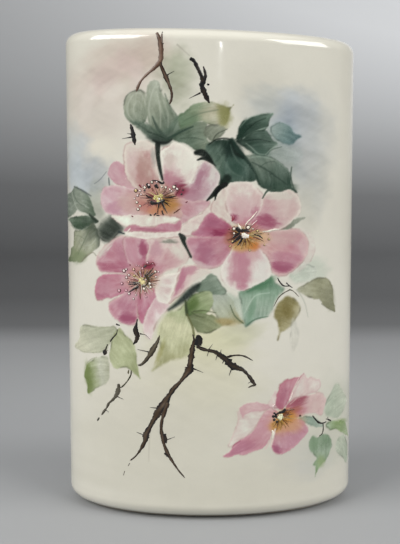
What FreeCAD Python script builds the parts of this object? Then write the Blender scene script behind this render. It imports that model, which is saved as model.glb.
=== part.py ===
import FreeCAD, Part
import math
import os

# An oval slip-cast porcelain vase with hand-painted wild roses, in millimetres.
# +Z is up, the origin is the middle of the foot on the table, and the painted
# face looks along -Y. The vase is wide (X), shallow (Y), and its rim slopes a
# little down towards +X.

document = FreeCAD.newDocument("vase")
sheet = document.addObject("Spreadsheet::Sheet", "dims")

SIZES = [
    ("vase_height", 322.0),        # table to rim, on the axis
    ("rim_slope", 1.78),           # degrees, the +X end is the low one
    ("top_half_width", 98.6),
    ("top_half_depth", 54.8),
    ("base_half_width", 100.5),
    ("base_half_depth", 55.9),
    ("shoulder_radius", 8.0),      # outer edge of the rim
    ("heel_radius", 9.0),          # outer edge of the underside
    ("wall_thickness", 5.0),       # porcelain and glaze together
    ("floor_thickness", 7.0),
    ("lip_thickness", 5.0),
    ("lip_width", 9.5),            # outside of the wall to the mouth
    ("lip_edge_radius", 2.2),
    ("inner_heel_radius", 6.0),
    ("inner_shoulder_radius", 2.5),
    ("foot_height", 2.0),
    ("foot_inset", 10.0),          # outside of the wall to the foot ring
    ("foot_width", 4.5),
    ("foot_edge_radius", 0.8),
    ("glaze_thickness", 0.35),
    ("enamel_thickness", 0.2),
]
for row, (alias, value) in enumerate(SIZES, start=1):
    sheet.set(f"A{row}", alias)
    sheet.set(f"B{row}", str(value))
    sheet.setAlias(f"B{row}", alias)
document.recompute()
SIZE = dict(SIZES)

PICKING = 1.0                  # how closely an edge must match the size it is picked by
ANGLE_STEP = 0.002             # radians, for measuring round the wall
PAD_CLEARANCE = "10"           # how far outlines are carried past the wall
THORN_WIDTH = 1.6
THORN_TIP = 0.5
SHORT_STAMEN = 0.82            # of a long one
STAMEN_SHARE = 0.32            # of the space between stamens


# ---------------------------------------------------------------- helpers

def origin_plane(body, role):
    """One of a body's own origin planes, such as XY_Plane."""
    return next(f for f in body.Origin.OriginFeatures if f.Role == role)


def new_body(name):
    body = document.addObject("PartDesign::Body", name)
    body.AllowCompound = True
    return body


def oval(name, half_width, half_depth, height, slope="0"):
    """An ellipse across the vase; its size, height and slope are sheet expressions."""
    ellipse = document.addObject("Part::Ellipse", name)
    ellipse.Placement = FreeCAD.Placement(
        FreeCAD.Vector(0, 0, 0), FreeCAD.Rotation(FreeCAD.Vector(0, 1, 0), 1.0))
    ellipse.setExpression("MajorRadius", half_width)
    ellipse.setExpression("MinorRadius", half_depth)
    ellipse.setExpression(".Placement.Base.z", height)
    ellipse.setExpression(".Placement.Rotation.Angle", slope)
    return ellipse


def loft(name, lower, upper):
    """A straight-sided solid between two ovals."""
    feature = document.addObject("Part::Loft", name)
    feature.Sections = [lower, upper]
    feature.Solid = True
    feature.Ruled = True
    document.recompute()
    return feature


def cut(name, base, tool):
    feature = document.addObject("Part::Cut", name)
    feature.Base = base
    feature.Tool = tool
    document.recompute()
    return feature


def oval_edges(shape, low, high, width):
    """Numbers of the closed edges of a shape between two heights that have a given width."""
    numbers = []
    for number, edge in enumerate(shape.Edges, start=1):
        box = edge.BoundBox
        matches = abs(box.XLength - width) < PICKING
        if edge.isClosed() and box.ZMin > low and box.ZMax < high and matches:
            numbers.append(number)
    return numbers


def round_edges(name, base, rounds):
    """Round edges of a solid; rounds pairs lists of edge numbers with a radius."""
    feature = document.addObject("Part::Fillet", name)
    feature.Base = base
    feature.Edges = [(number, radius, radius) for numbers, radius in rounds for number in numbers]
    document.recompute()
    return feature


# ---------------------------------------------------------------- the vessel

SLOPE_REACH = SIZE["top_half_width"] * math.tan(math.radians(SIZE["rim_slope"]))


def outer_loft(name, inset):
    """The outside of the vase, drawn in everywhere by a distance."""
    lower = oval(f"{name}_base", f"dims.base_half_width - ({inset})",
                 f"dims.base_half_depth - ({inset})", f"dims.foot_height + ({inset})")
    upper = oval(f"{name}_top", f"dims.top_half_width - ({inset})",
                 f"dims.top_half_depth - ({inset})", f"dims.vase_height - ({inset})",
                 "dims.rim_slope")
    return loft(name, lower, upper)


def inner_loft(name, inset):
    """The hollow of the vase, from its floor up to the underside of the lip."""
    wall = f"dims.wall_thickness - ({inset})"
    lower = oval(f"{name}_base", f"dims.base_half_width - ({wall})",
                 f"dims.base_half_depth - ({wall})",
                 f"dims.foot_height + dims.floor_thickness - ({inset})")
    upper = oval(f"{name}_top", f"dims.top_half_width - ({wall})",
                 f"dims.top_half_depth - ({wall})",
                 f"dims.vase_height - dims.lip_thickness + ({inset})", "dims.rim_slope")
    return loft(name, lower, upper)


def mouth_plug(name, inset):
    """The space inside the lip, running from the hollow out past the rim."""
    width = f"dims.top_half_width - dims.lip_width + ({inset})"
    depth = f"dims.top_half_depth - dims.lip_width + ({inset})"
    lower = oval(f"{name}_lower", width, depth, "dims.vase_height - 2 * dims.lip_thickness",
                 "dims.rim_slope")
    upper = oval(f"{name}_upper", width, depth, "dims.vase_height + dims.lip_thickness",
                 "dims.rim_slope")
    return loft(name, lower, upper)


def ends_of(shape, low, high, lower_width, upper_width):
    """The two end edges of a loft: one about a low height, one about a high height."""
    lower = oval_edges(shape, low - PICKING, low + PICKING, 2 * lower_width)
    reach = SLOPE_REACH + PICKING
    upper = oval_edges(shape, high - reach, high + reach, 2 * upper_width)
    return lower, upper


def vessel(name, inset):
    """The whole vase wall, thinned on every surface by a distance."""
    thinned = SIZE["glaze_thickness"] if inset == "dims.glaze_thickness" else 0.0
    outside = outer_loft(f"{name}_outside", inset)
    heel, shoulder = ends_of(
        outside.Shape, SIZE["foot_height"], SIZE["vase_height"],
        SIZE["base_half_width"] - thinned, SIZE["top_half_width"] - thinned)
    rounded_outside = round_edges(f"{name}_rounded_outside", outside, [
        (heel, SIZE["heel_radius"] - thinned), (shoulder, SIZE["shoulder_radius"] - thinned)])
    inside = inner_loft(f"{name}_inside", inset)
    floor, roof = ends_of(
        inside.Shape, SIZE["foot_height"] + SIZE["floor_thickness"],
        SIZE["vase_height"] - SIZE["lip_thickness"],
        SIZE["base_half_width"] - SIZE["wall_thickness"] + thinned,
        SIZE["top_half_width"] - SIZE["wall_thickness"] + thinned)
    rounded_inside = round_edges(f"{name}_rounded_inside", inside, [
        (floor, SIZE["inner_heel_radius"] + thinned),
        (roof, SIZE["inner_shoulder_radius"] + thinned)])
    hollowed = cut(f"{name}_hollowed", rounded_outside, rounded_inside)
    opened = cut(f"{name}_opened", hollowed, mouth_plug(f"{name}_mouth", inset))
    height = SIZE["vase_height"]
    reach = SLOPE_REACH + PICKING
    lip = oval_edges(opened.Shape, height - reach, height + reach,
                     2 * (SIZE["top_half_width"] - SIZE["lip_width"] + thinned))
    return round_edges(name, opened, [(lip, SIZE["lip_edge_radius"] - thinned)])


def foot(name):
    """The unglazed oval ring that the vase stands on."""
    walls = []
    for edge, inset in (("outer", "dims.foot_inset"),
                        ("inner", "(dims.foot_inset + dims.foot_width)")):
        width = f"dims.base_half_width - {inset}"
        depth = f"dims.base_half_depth - {inset}"
        top = "dims.foot_height + dims.glaze_thickness"
        lower = oval(f"{name}_{edge}_low", width, depth, "0")
        upper = oval(f"{name}_{edge}_high", width, depth, top)
        walls.append(loft(f"{name}_{edge}", lower, upper))
    band = cut(f"{name}_band", *walls)
    outline = SIZE["base_half_width"] - SIZE["foot_inset"]
    edges = [number for half in (outline, outline - SIZE["foot_width"])
             for number in oval_edges(band.Shape, -PICKING, PICKING, 2 * half)]
    return round_edges(name, band, [(edges, SIZE["foot_edge_radius"])])


# ---------------------------------------------------------------- the painting
# Outlines are given as (s, z) pairs: s is the distance round the wall from the
# middle of the face, and z is the height above the underside of the body. Each
# outline is a list of smooth runs that meet at corners.

MEAN_WIDTH = (SIZE["top_half_width"] + SIZE["base_half_width"]) / 2
MEAN_DEPTH = (SIZE["top_half_depth"] + SIZE["base_half_depth"]) / 2
BODY_HEIGHT = SIZE["vase_height"] - SIZE["foot_height"]


def turn_at(distance):
    """The ellipse angle at which the wall has run a distance from the middle of the face."""
    step = math.copysign(ANGLE_STEP, distance)
    angle = 0.0
    travelled = 0.0
    while travelled < abs(distance):
        travelled += abs(step) * math.hypot(
            MEAN_WIDTH * math.cos(angle), MEAN_DEPTH * math.sin(angle))
        angle += step
    return angle


def on_face(point):
    """A painted point as seen from straight in front: across and up."""
    distance, up = point
    share = up / BODY_HEIGHT
    half_width = SIZE["base_half_width"] + share * (SIZE["top_half_width"] - SIZE["base_half_width"])
    return FreeCAD.Vector(half_width * math.sin(turn_at(distance)), up + SIZE["foot_height"], 0)


def face_sketch(body, name, outlines):
    """Closed outlines drawn on the front elevation of the vase."""
    sketch = body.newObject("Sketcher::SketchObject", name)
    sketch.AttachmentSupport = [(origin_plane(body, "XZ_Plane"), "")]
    sketch.MapMode = "FlatFace"
    for runs in outlines:
        corners = [on_face(run[0]) for run in runs]
        for index, run in enumerate(runs):
            points = [on_face(point) for point in run]
            points[0] = corners[index]
            points[-1] = corners[(index + 1) % len(corners)]
            if len(points) == 2:
                sketch.addGeometry(Part.LineSegment(points[0], points[1]))
            else:
                curve = Part.BSplineCurve()
                curve.interpolate(points)
                sketch.addGeometry(curve)
    sketch.Visibility = False
    return sketch


def painted(name, layers, coat):
    """A motif of enamel: outlines carried through to the wall and kept only within a coat."""
    body = new_body(f"{name}_outline")
    for number, outlines in enumerate(layers):
        sketch = face_sketch(body, f"{name}_sketch_{number}", outlines)
        pad = body.newObject("PartDesign::Pad", f"{name}_pad_{number}")
        pad.Profile = sketch
        pad.setExpression("Length", f"dims.base_half_depth + {PAD_CLEARANCE}")
        document.recompute()
    motif = document.addObject("Part::MultiCommon", name)
    motif.Shapes = [body, coat]
    document.recompute()
    return motif


def enamel_coat(name, under, over):
    """A thin oval skin lying on the wall between two distances out."""
    outer = outer_loft(f"{name}_over", f"-({over})")
    inner = outer_loft(f"{name}_under", f"-({under})")
    return cut(name, outer, inner)


def stroke(path):
    """The closed outline of a brush stroke given as (s, z, width) points."""
    left = []
    right = []
    for index, (across, up, width) in enumerate(path):
        before = path[max(index - 1, 0)]
        after = path[min(index + 1, len(path) - 1)]
        run = (after[0] - before[0], after[1] - before[1])
        length = math.hypot(*run)
        side = (-run[1] / length * width / 2, run[0] / length * width / 2)
        left.append((across + side[0], up + side[1]))
        right.append((across - side[0], up - side[1]))
    right.reverse()
    return [left, [left[-1], right[0]], right, [right[-1], left[0]]]


def thorn(across, up, tip_across, tip_up):
    """A short tapering spike off a twig."""
    return stroke([(across, up, THORN_WIDTH), (tip_across, tip_up, THORN_TIP)])


def stamens(centre, reach, eye, count):
    """A ring of filaments standing out of the eye of a rose, with blunt anther tips."""
    tip_turn = STAMEN_SHARE / 2 * math.tau / count
    points = []
    for index in range(count):
        turn = index * math.tau / count
        length = 1.0 if index % 2 else SHORT_STAMEN
        for angle in (turn - tip_turn, turn + tip_turn):
            points.append((centre[0] + length * reach[0] * math.cos(angle),
                           centre[1] + length * reach[1] * math.sin(angle)))
        valley = turn + math.pi / count
        points.append((centre[0] + eye * math.cos(valley), centre[1] + eye * math.sin(valley)))
    return [[a, b] for a, b in zip(points, points[1:] + points[:1])]


PETALS = {
    "rose_upper_left_petals": [
        [(-57, 236), (-57.5, 242), (-56, 246.5), (-50, 249), (-44, 250), (-39, 248), (-36, 243),
         (-34.5, 234), (-34, 228)],
        [(-34, 228), (-33.5, 235), (-33, 241), (-31, 245), (-25, 248.3), (-18, 246.5), (-11, 241),
         (-9, 236), (-10.5, 228)],
        [(-10.5, 228), (-8, 233.5), (-5, 236.3), (0, 235), (4, 231), (5, 226), (3, 220), (0, 214),
         (-1, 209.5)],
        [(-1, 209.5), (-6, 205), (-12, 201), (-20.5, 194.5)],
        [(-20.5, 194.5), (-24, 191.8), (-34, 191), (-45, 191), (-57, 191.5)],
        [(-57, 191.5), (-61, 196), (-66, 200.5)],
        [(-66, 200.5), (-72, 203), (-75.5, 208), (-76, 214), (-73, 219), (-66, 221.5)],
        [(-66, 221.5), (-69.5, 226), (-70, 230), (-66.5, 235.5), (-62, 236.5), (-57, 236)]],
    "rose_right_petals": [
        [(0.5, 209), (4, 215), (8, 221.5), (13, 223.8), (20, 224), (26, 223), (30, 219),
         (33.5, 214.5)],
        [(33.5, 214.5), (38, 216.8), (45, 217.5), (51, 219), (56, 216), (60, 208), (58, 202),
         (52, 196.5), (46, 192.5)],
        [(46, 192.5), (56, 193), (63, 190), (67, 183), (65, 175), (60, 169.5), (53, 164),
         (46, 162.5), (39.5, 164)],
        [(39.5, 164), (36, 160), (30, 157.5), (24, 154.5), (18, 153.3), (11, 156), (6.5, 160.5),
         (5.5, 165), (6.5, 169.5)],
        [(6.5, 169.5), (0, 168), (-6, 168.5), (-12, 172.5), (-14.5, 179), (-16, 186), (-14, 189)],
        [(-14, 189), (-19, 189.8), (-20, 192.5), (-18, 195.5), (-12, 199.8), (-6, 203.8),
         (0.5, 209)]],
    "rose_lower_left_petals": [
        [(-62, 188.5), (-55, 188), (-46, 187.8), (-36, 187.3), (-27, 188), (-21, 188.7)],
        [(-21, 188.7), (-18.5, 182), (-16.5, 176.5), (-16, 172.3)],
        [(-16, 172.3), (-12, 169.5), (-7, 167), (-1.5, 165.8)],
        [(-1.5, 165.8), (-8, 161), (-14, 156), (-20, 150), (-26, 145), (-29, 141.5)],
        [(-29, 141.5), (-34, 136.5), (-37.5, 130), (-38.5, 124), (-40.5, 120.5), (-43.5, 123),
         (-45.2, 127.5), (-45.5, 131)],
        [(-45.5, 131), (-47.5, 133.5), (-48.8, 137)],
        [(-48.8, 137), (-50.5, 131), (-55, 129.5), (-61, 130.5), (-67, 134.5), (-70.5, 141),
         (-68, 144.5)],
        [(-68, 144.5), (-74, 145.5), (-79.5, 145.3), (-81.3, 151), (-79.5, 158), (-77, 163)],
        [(-77, 163), (-79.8, 167), (-79.5, 174), (-72, 181.5), (-66, 186), (-62, 188.5)]],
    "rose_lower_right_petals": [
        [(8, 43.5), (11, 47), (14, 58), (17.5, 66), (18, 74)],
        [(18, 74), (22, 77.5), (29, 79), (36, 77), (42.5, 78)],
        [(42.5, 78), (43.5, 84), (45.5, 89.5), (49, 92.5), (55, 93.5), (63, 96)],
        [(63, 96), (66, 92.5), (71, 92), (76.5, 90), (77, 86), (74, 82.5)],
        [(74, 82.5), (79, 79.5), (82, 75), (80, 69), (77.5, 65.5)],
        [(77.5, 65.5), (71, 68), (65, 67.5), (61.5, 64.5)],
        [(61.5, 64.5), (66, 60), (67, 56), (63, 51.5), (56, 46.5), (50, 43), (45, 42), (41, 44.5),
         (39.5, 48)],
        [(39.5, 48), (30, 45.8), (20, 43.7), (12, 42.5), (8, 43.5)]],
}

LEAVES = {
    "leaves_top_left": [[
        [(-53, 261.5), (-57, 266), (-58.3, 271), (-57, 277), (-52, 281.3), (-46, 282.2),
         (-42.5, 281)],
        [(-42.5, 281), (-41, 285.5), (-37.5, 287.8), (-34, 286), (-32, 281), (-29, 276),
         (-25, 269), (-21.5, 264.8)],
        [(-21.5, 264.8), (-17, 268.5), (-10, 272.5), (-2, 274.5), (6, 272.8), (14, 272)],
        [(14, 272), (12, 267), (10, 261), (6.5, 258.8)],
        [(6.5, 258.8), (9.5, 257.5), (7, 253.5), (0, 249.5), (-2.5, 246.5)],
        [(-2.5, 246.5), (-9, 243.3), (-18, 248), (-27, 250.5), (-37, 250.5)],
        [(-37, 250.5), (-42, 252.5), (-47, 257.5), (-53, 261.5)]]],
    "leaves_top_right": [[
        [(14.5, 251.5), (17, 256), (19, 261.5), (24, 264.5), (31, 266.5), (40, 267.5)],
        [(40, 267.5), (38, 263), (37.5, 259)],
        [(37.5, 259), (42, 261.8), (48, 261.5), (54, 257), (61, 252.3)],
        [(61, 252.3), (55.5, 250), (51, 247), (45, 248), (41, 249.5)],
        [(41, 249.5), (42.5, 246.5), (38.5, 243.5), (34, 240)],
        [(34, 240), (40, 239.5), (46, 235.5), (51, 231), (54, 225), (57, 218)],
        [(57, 218), (51, 220.8), (45, 219), (39, 218.3), (33, 220.5)],
        [(33, 220.5), (27, 225), (20, 225.5), (13, 225.3), (7, 223)],
        [(7, 223), (6.8, 228), (5, 233), (1, 237.3), (-3, 239.5)],
        [(-3, 239.5), (-1.5, 244.5), (4, 249), (10, 251.5), (14.5, 251.5)]]],
    "leaves_left": [
        [[(-110, 213.5), (-107, 216), (-99, 220.5), (-92, 217.5), (-86, 215.5), (-83, 209),
          (-80, 202), (-77.5, 197.5)],
         [(-77.5, 197.5), (-84, 194.5), (-92, 191.5), (-98, 191), (-104, 193.5), (-110, 196)],
         [(-110, 196), (-110, 213.5)]],
        [[(-110, 168.3), (-103, 169), (-94, 169.5), (-88, 173.5), (-83, 177.5), (-78.5, 182)],
         [(-78.5, 182), (-80, 190.5), (-88, 190), (-95, 189), (-103, 189.5)],
         [(-103, 189.5), (-103.5, 184), (-106, 179), (-110, 175)],
         [(-110, 175), (-110, 168.3)]],
        [[(-76, 195), (-76.5, 189), (-73.5, 186), (-70, 185.8), (-66, 188.3), (-62.5, 192)],
         [(-62.5, 192), (-65, 196.5), (-68.5, 199.5), (-72.5, 198), (-76, 195)]]],
    "leaves_lower_left": [
        [[(-104, 110), (-99, 115), (-97, 121), (-95, 126)],
         [(-95, 126), (-88, 127), (-80, 126.5), (-67, 127.5)],
         [(-67, 127.5), (-69.5, 121), (-71.5, 115), (-73, 110.5)],
         [(-73, 110.5), (-80, 109), (-88, 108.3), (-94, 108), (-104, 110)]],
        [[(-62, 127), (-58, 123.5), (-54, 119.5), (-51, 113), (-49.5, 103), (-47.8, 94)],
         [(-47.8, 94), (-52, 98.3), (-56, 101), (-60, 101)],
         [(-60, 101), (-64, 99.5), (-68, 102), (-69.5, 107), (-69, 113), (-67.5, 119), (-62, 127)]],
        [[(-71, 106), (-76, 107), (-83, 104), (-88, 101), (-91.5, 96), (-91.5, 90), (-89, 80)],
         [(-89, 80), (-85, 81.5), (-80, 85), (-74, 88), (-71, 91)],
         [(-71, 91), (-70, 98), (-71, 106)]]],
    "leaves_centre": [[
        [(-28, 140), (-24, 144.3), (-18.5, 149.3), (-12.5, 155), (-6.5, 160), (-0.5, 164.2)],
        [(-0.5, 164.2), (3.5, 163), (5, 159.5), (9.5, 155), (17, 151.8), (24.5, 153), (31, 156),
         (37, 158.8), (41, 161.5)],
        [(41, 161.5), (44, 157), (48, 154)],
        [(48, 154), (44.5, 149), (41, 143), (36, 136)],
        [(36, 136), (29, 134), (20.5, 128.5)],
        [(20.5, 128.5), (16, 132), (10, 131.3), (6, 131)],
        [(6, 131), (3, 128), (-3, 126), (-10, 128)],
        [(-10, 128), (-13, 126), (-15, 119), (-17, 110.5)],
        [(-17, 110.5), (-25, 107.5), (-33, 105.5), (-39.5, 99.5)],
        [(-39.5, 99.5), (-35.5, 107), (-33.7, 114), (-34.5, 121), (-33.5, 130), (-28, 140)]]],
    "leaves_right": [
        [[(44, 120.5), (45.2, 126), (44.5, 131), (42.5, 136.5), (43.5, 142), (46, 146.5), (51, 149)],
         [(51, 149), (57, 146), (60, 140.5), (57, 134), (52, 128.5), (48, 125.5), (44, 120.5)]],
        [[(57, 152.5), (63, 156.5), (70, 159.5), (77, 160.3), (83, 158), (87, 152), (88.5, 145),
          (90, 135.3)],
         [(90, 135.3), (83, 138.3), (77.5, 142.5), (73, 145.7), (65, 148), (57, 152.5)]]],
    "leaves_lower_right": [
        [[(83.5, 66), (84, 73), (87, 79.5), (92, 85)],
         [(92, 85), (98, 81.5), (104, 75), (106.5, 69.5)],
         [(106.5, 69.5), (100, 63), (94, 60.8), (87, 62.5), (83.5, 66)]],
        [[(82, 57.5), (88, 59.3), (95, 58.3), (101, 57.3), (106, 54), (110, 45)],
         [(110, 45), (104, 47.5), (98, 49.5), (90, 52.5), (82, 57.5)]],
        [[(69, 51), (76, 51.5), (84, 50.5), (88, 45), (86.5, 38), (82, 33), (78, 31),
          (73.3, 24.5)],
         [(73.3, 24.5), (72.5, 30), (73, 35), (70, 40.5), (68, 45.5), (69, 51)]],
        [[(92.5, 43.5), (98, 46.5), (104, 44.5), (108.5, 36), (108.5, 27)],
         [(108.5, 27), (103, 29.5), (96.5, 34.5), (92, 39.5), (92.5, 43.5)]]],
}

# One entry per twig node: each stroke of it is padded on its own, so branches may cross.
TWIGS = {
    "twig_top_left": [
        stroke([(-33, 310, 2.6), (-32.5, 305, 3), (-33, 299, 3.2), (-38, 294.5, 2),
                (-43, 290.5, 1.6), (-46.5, 286.5, 1.8), (-48.7, 283.6, 1.6)]),
        stroke([(-33.3, 300, 2.6), (-31, 294, 2.4), (-29, 289, 2.6), (-27, 284, 2),
                (-26, 280, 1.6), (-26, 274, 1.2)]),
        thorn(-29.5, 289.5, -23.5, 293)],
    "twig_top_right": [
        stroke([(-13.5, 301, 2), (-10, 297.5, 2.2), (-7, 292, 2.2), (-5, 287, 3.2),
                (-5.5, 283.5, 3.6), (-4, 280, 3.2), (-1.5, 276, 1.8)]),
        stroke([(-4.5, 287, 2), (-3.8, 291, 1.8), (-5, 296, 0.8)]),
        thorn(-6, 279.5, -13.5, 276)],
    "twig_centre": [
        stroke([(-11.8, 121, 2), (-12.2, 116, 3.4), (-13.3, 110, 3.6), (-14.3, 103.5, 4),
                (-17, 98, 3), (-21, 93, 2), (-26, 87.5, 3.2), (-31, 79, 4), (-35, 73, 4.4),
                (-39.5, 65, 3.4), (-43.5, 57, 3.6), (-45.5, 50, 2.6), (-49.5, 43.5, 1.4),
                (-54.5, 38.5, 0.8)]),
        stroke([(-29.5, 79, 3), (-31.3, 72, 2.4), (-32.8, 65, 2), (-33, 58, 2.2),
                (-31.6, 51, 2), (-28.5, 43.5, 2.2), (-23, 35.5, 1.5), (-18, 29, 0.7)]),
        thorn(-13, 103, -5.5, 100),
        thorn(-34.5, 74.5, -40.5, 75.5),
        thorn(-44, 56.5, -50, 58),
        thorn(-31.8, 54, -24, 56.3)],
    "twig_right": [
        stroke([(-9.5, 123.5, 1.8), (-7.5, 121, 2.8), (-8, 117.5, 2.4), (-5, 115.5, 1.8),
                (0, 114, 2.2), (5, 111.5, 2.8), (10, 107.5, 4), (15, 103.5, 3.8),
                (20, 100.8, 2.4), (24, 97, 2), (27, 93, 2), (28.7, 90, 1.4)]),
        stroke([(8.5, 109, 2), (14, 110.7, 1), (20, 110.3, 1), (27, 107, 0.6)]),
        thorn(13.5, 103, 11.5, 97.5)],
    "twig_lower_left": [
        stroke([(-36.8, 119, 2), (-38, 115.5, 3), (-40, 111.5, 3.2), (-43.5, 107, 2.2),
                (-46.5, 104.5, 1.4)]),
        stroke([(-63.2, 89.5, 2), (-63.5, 85.5, 3.2), (-65.5, 81, 2.8), (-69, 77, 1.6),
                (-72.5, 72, 1.4), (-76.5, 66.8, 1)]),
        stroke([(-49.2, 129, 1), (-50, 126, 2.6), (-49.3, 122.5, 3), (-51, 117.3, 1.8)])],
}

STAMENS = {
    "rose_upper_left_stamens": ((-34, 213), (15, 10), 3.4, 26),
    "rose_right_stamens": ((24, 188.5), (13, 9), 3.0, 24),
    "rose_lower_left_stamens": ((-46, 160), (12, 11), 3.4, 24),
    "rose_lower_right_stamens": ((48, 68.5), (8.5, 6), 2.4, 18),
}


# ---------------------------------------------------------------- assembly

porcelain = vessel("vase_body", "dims.glaze_thickness")
glazed = vessel("glazed_vase", "0")
ring = foot("foot_ring")
clear_of_ring = cut("glaze_clear_of_ring", glazed, ring)
glaze = cut("glaze_coat", clear_of_ring, porcelain)

first_coat = enamel_coat("first_coat", "0", "dims.enamel_thickness")
second_coat = enamel_coat("second_coat", "dims.enamel_thickness", "2 * dims.enamel_thickness")

nodes = [porcelain, ring, glaze]
for name, outline in PETALS.items():
    nodes.append(painted(name, [[outline]], first_coat))
for name, outlines in LEAVES.items():
    nodes.append(painted(name, [outlines], first_coat))
for name, strokes in TWIGS.items():
    nodes.append(painted(name, [[outline] for outline in strokes], first_coat))
for name, (centre, reach, eye, count) in STAMENS.items():
    nodes.append(painted(name, [[stamens(centre, reach, eye, count)]], second_coat))


# ---------------------------------------------------------------- checks and export

os.makedirs("parts", exist_ok=True)
for item in document.Objects:
    if "Invalid" in item.State or "Error" in item.State:
        raise RuntimeError(f"{item.Name}: {item.State}")

for node in nodes:
    node.Label = node.Name
    node.Placement = FreeCAD.Placement()
    shape = node.Shape
    if shape.isNull() or not shape.isValid():
        raise RuntimeError(f"{node.Name} has no valid shape")
    print(f"{node.Name:28s} solids {len(shape.Solids):2d} volume {shape.Volume:12.1f}")
    shape.exportStep(f"parts/{node.Name}.step")
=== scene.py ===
"""An oval porcelain vase painted with wild roses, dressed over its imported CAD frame.

Painted points are (s, z) pairs in millimetres: s runs round the wall from the middle of
the painted face, towards +X, and z is the height above the underside of the body.
"""

import math
import random

import bpy
import numpy as np
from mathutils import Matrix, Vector


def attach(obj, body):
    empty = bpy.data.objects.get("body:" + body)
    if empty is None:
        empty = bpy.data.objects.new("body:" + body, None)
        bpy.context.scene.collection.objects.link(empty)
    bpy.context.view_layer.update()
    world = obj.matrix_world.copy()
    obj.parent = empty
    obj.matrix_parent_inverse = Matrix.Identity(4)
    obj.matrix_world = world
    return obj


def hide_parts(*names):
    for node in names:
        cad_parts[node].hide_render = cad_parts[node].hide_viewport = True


MM = 0.001

# ---------------------------------------------------------------- painting: brushes
# Colours are sRGB, 0 to 255, as they look on the lit vase.

PORCELAIN = (212, 209, 197)
CREAM = (216, 209, 196)
WHITE = (226, 222, 210)
CONTOUR = (154, 112, 112)       # drawn here and there round a petal
PALE_EDGE = (152, 168, 154)     # between two dark leaves
WHORL = (186, 190, 176)         # veins of the grey leaf at the top left
DARK_GREEN = (26, 32, 28)
DEEPEST_GREEN = (18, 24, 20)

BRISTLE_TINT = np.array([0.55, 1.15, 0.95])     # how far bristle marks shift red, green, blue
DRYNESS = 0.3                   # how much a painted line breaks up
OWN_FROM = 0.35                 # cover from which a point of the wall belongs to a motif

HASH_PRIMES = (73856093, 19349663, 83492791)
HASH_STIR = 1274126177


def smooth(low, high, value):
    """0 below low, 1 above high, and an easy curve between."""
    share = np.clip((value - low) / (high - low), 0.0, 1.0)
    return share * share * (3.0 - 2.0 * share)


def lattice(column, row, seed):
    """A repeatable random number from 0 to 1 for each whole-numbered cell."""
    across, up, salt = HASH_PRIMES
    mixed = column * across ^ row * up ^ seed * salt
    mixed = (mixed ^ (mixed >> 13)) * HASH_STIR
    return ((mixed ^ (mixed >> 16)) & 0xFFFF) / 0xFFFF


def cloud(across, up, seed):
    """Smooth noise from 0 to 1 with cells one unit wide."""
    column = np.floor(across).astype(np.int64)
    row = np.floor(up).astype(np.int64)
    u = smooth(0, 1, across - column)
    v = smooth(0, 1, up - row)
    low = lattice(column, row, seed) * (1 - u) + lattice(column + 1, row, seed) * u
    high = lattice(column, row + 1, seed) * (1 - u) + lattice(column + 1, row + 1, seed) * u
    return low * (1 - v) + high * v


def grain(across, up, seed):
    """Three octaves of smooth noise, from 0 to 1."""
    return (cloud(across, up, seed) * 4 + cloud(across * 2.1, up * 2.1, seed + 1) * 2
            + cloud(across * 4.3, up * 4.3, seed + 2)) / 7


def waver(across, up, seed):
    """The same noise about zero, from -0.5 to 0.5."""
    return grain(across, up, seed) - 0.5


def through(points, closed=False, steps=8):
    """A smooth run of points through the given ones (Catmull-Rom)."""
    points = np.asarray(points, float)
    count = len(points)
    spans = count if closed else count - 1
    out = []
    for index in range(spans):
        if closed:
            a, b, c, d = (points[(index + k) % count] for k in (-1, 0, 1, 2))
        else:
            a, b, c, d = (points[min(max(index + k, 0), count - 1)] for k in (-1, 0, 1, 2))
        for step in range(steps):
            t = step / steps
            out.append(0.5 * (2 * b + (c - a) * t + (2 * a - 5 * b + 4 * c - d) * t * t
                              + (3 * b - a - 3 * c + d) * t ** 3))
    if not closed:
        out.append(points[-1])
    return np.array(out)


def nearest(path, s, z):
    """For each point: its distance to a path, and the share of the way along where it is near."""
    starts = path[:-1]
    runs = path[1:] - starts
    lengths = np.maximum(np.hypot(runs[:, 0], runs[:, 1]), 1e-6)
    travelled = np.concatenate([[0], np.cumsum(lengths)])
    best = np.full(s.shape, 1e9)
    along = np.zeros(s.shape)
    for index in range(len(starts)):
        ds = s - starts[index, 0]
        dz = z - starts[index, 1]
        unit = runs[index] / lengths[index]
        t = np.clip(ds * unit[0] + dz * unit[1], 0, lengths[index])
        gap = np.hypot(ds - t * unit[0], dz - t * unit[1])
        closer = gap < best
        best = np.where(closer, gap, best)
        along = np.where(closer, travelled[index] + t, along)
    return best, along / travelled[-1]


def within(outline, s, z):
    """Which points lie inside a closed outline."""
    inside = np.zeros(s.shape, bool)
    for (s0, z0), (s1, z1) in zip(outline, np.roll(outline, -1, axis=0)):
        if z0 == z1:
            continue
        crosses = (z0 > z) != (z1 > z)
        inside ^= crosses & (s < (s1 - s0) * (z - z0) / (z1 - z0) + s0)
    return inside


def depth_inside(outline, s, z):
    """Distance in from a closed outline; negative outside it."""
    gap = nearest(np.vstack([outline, outline[:1]]), s, z)[0]
    return np.where(within(outline, s, z), gap, -gap)


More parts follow.
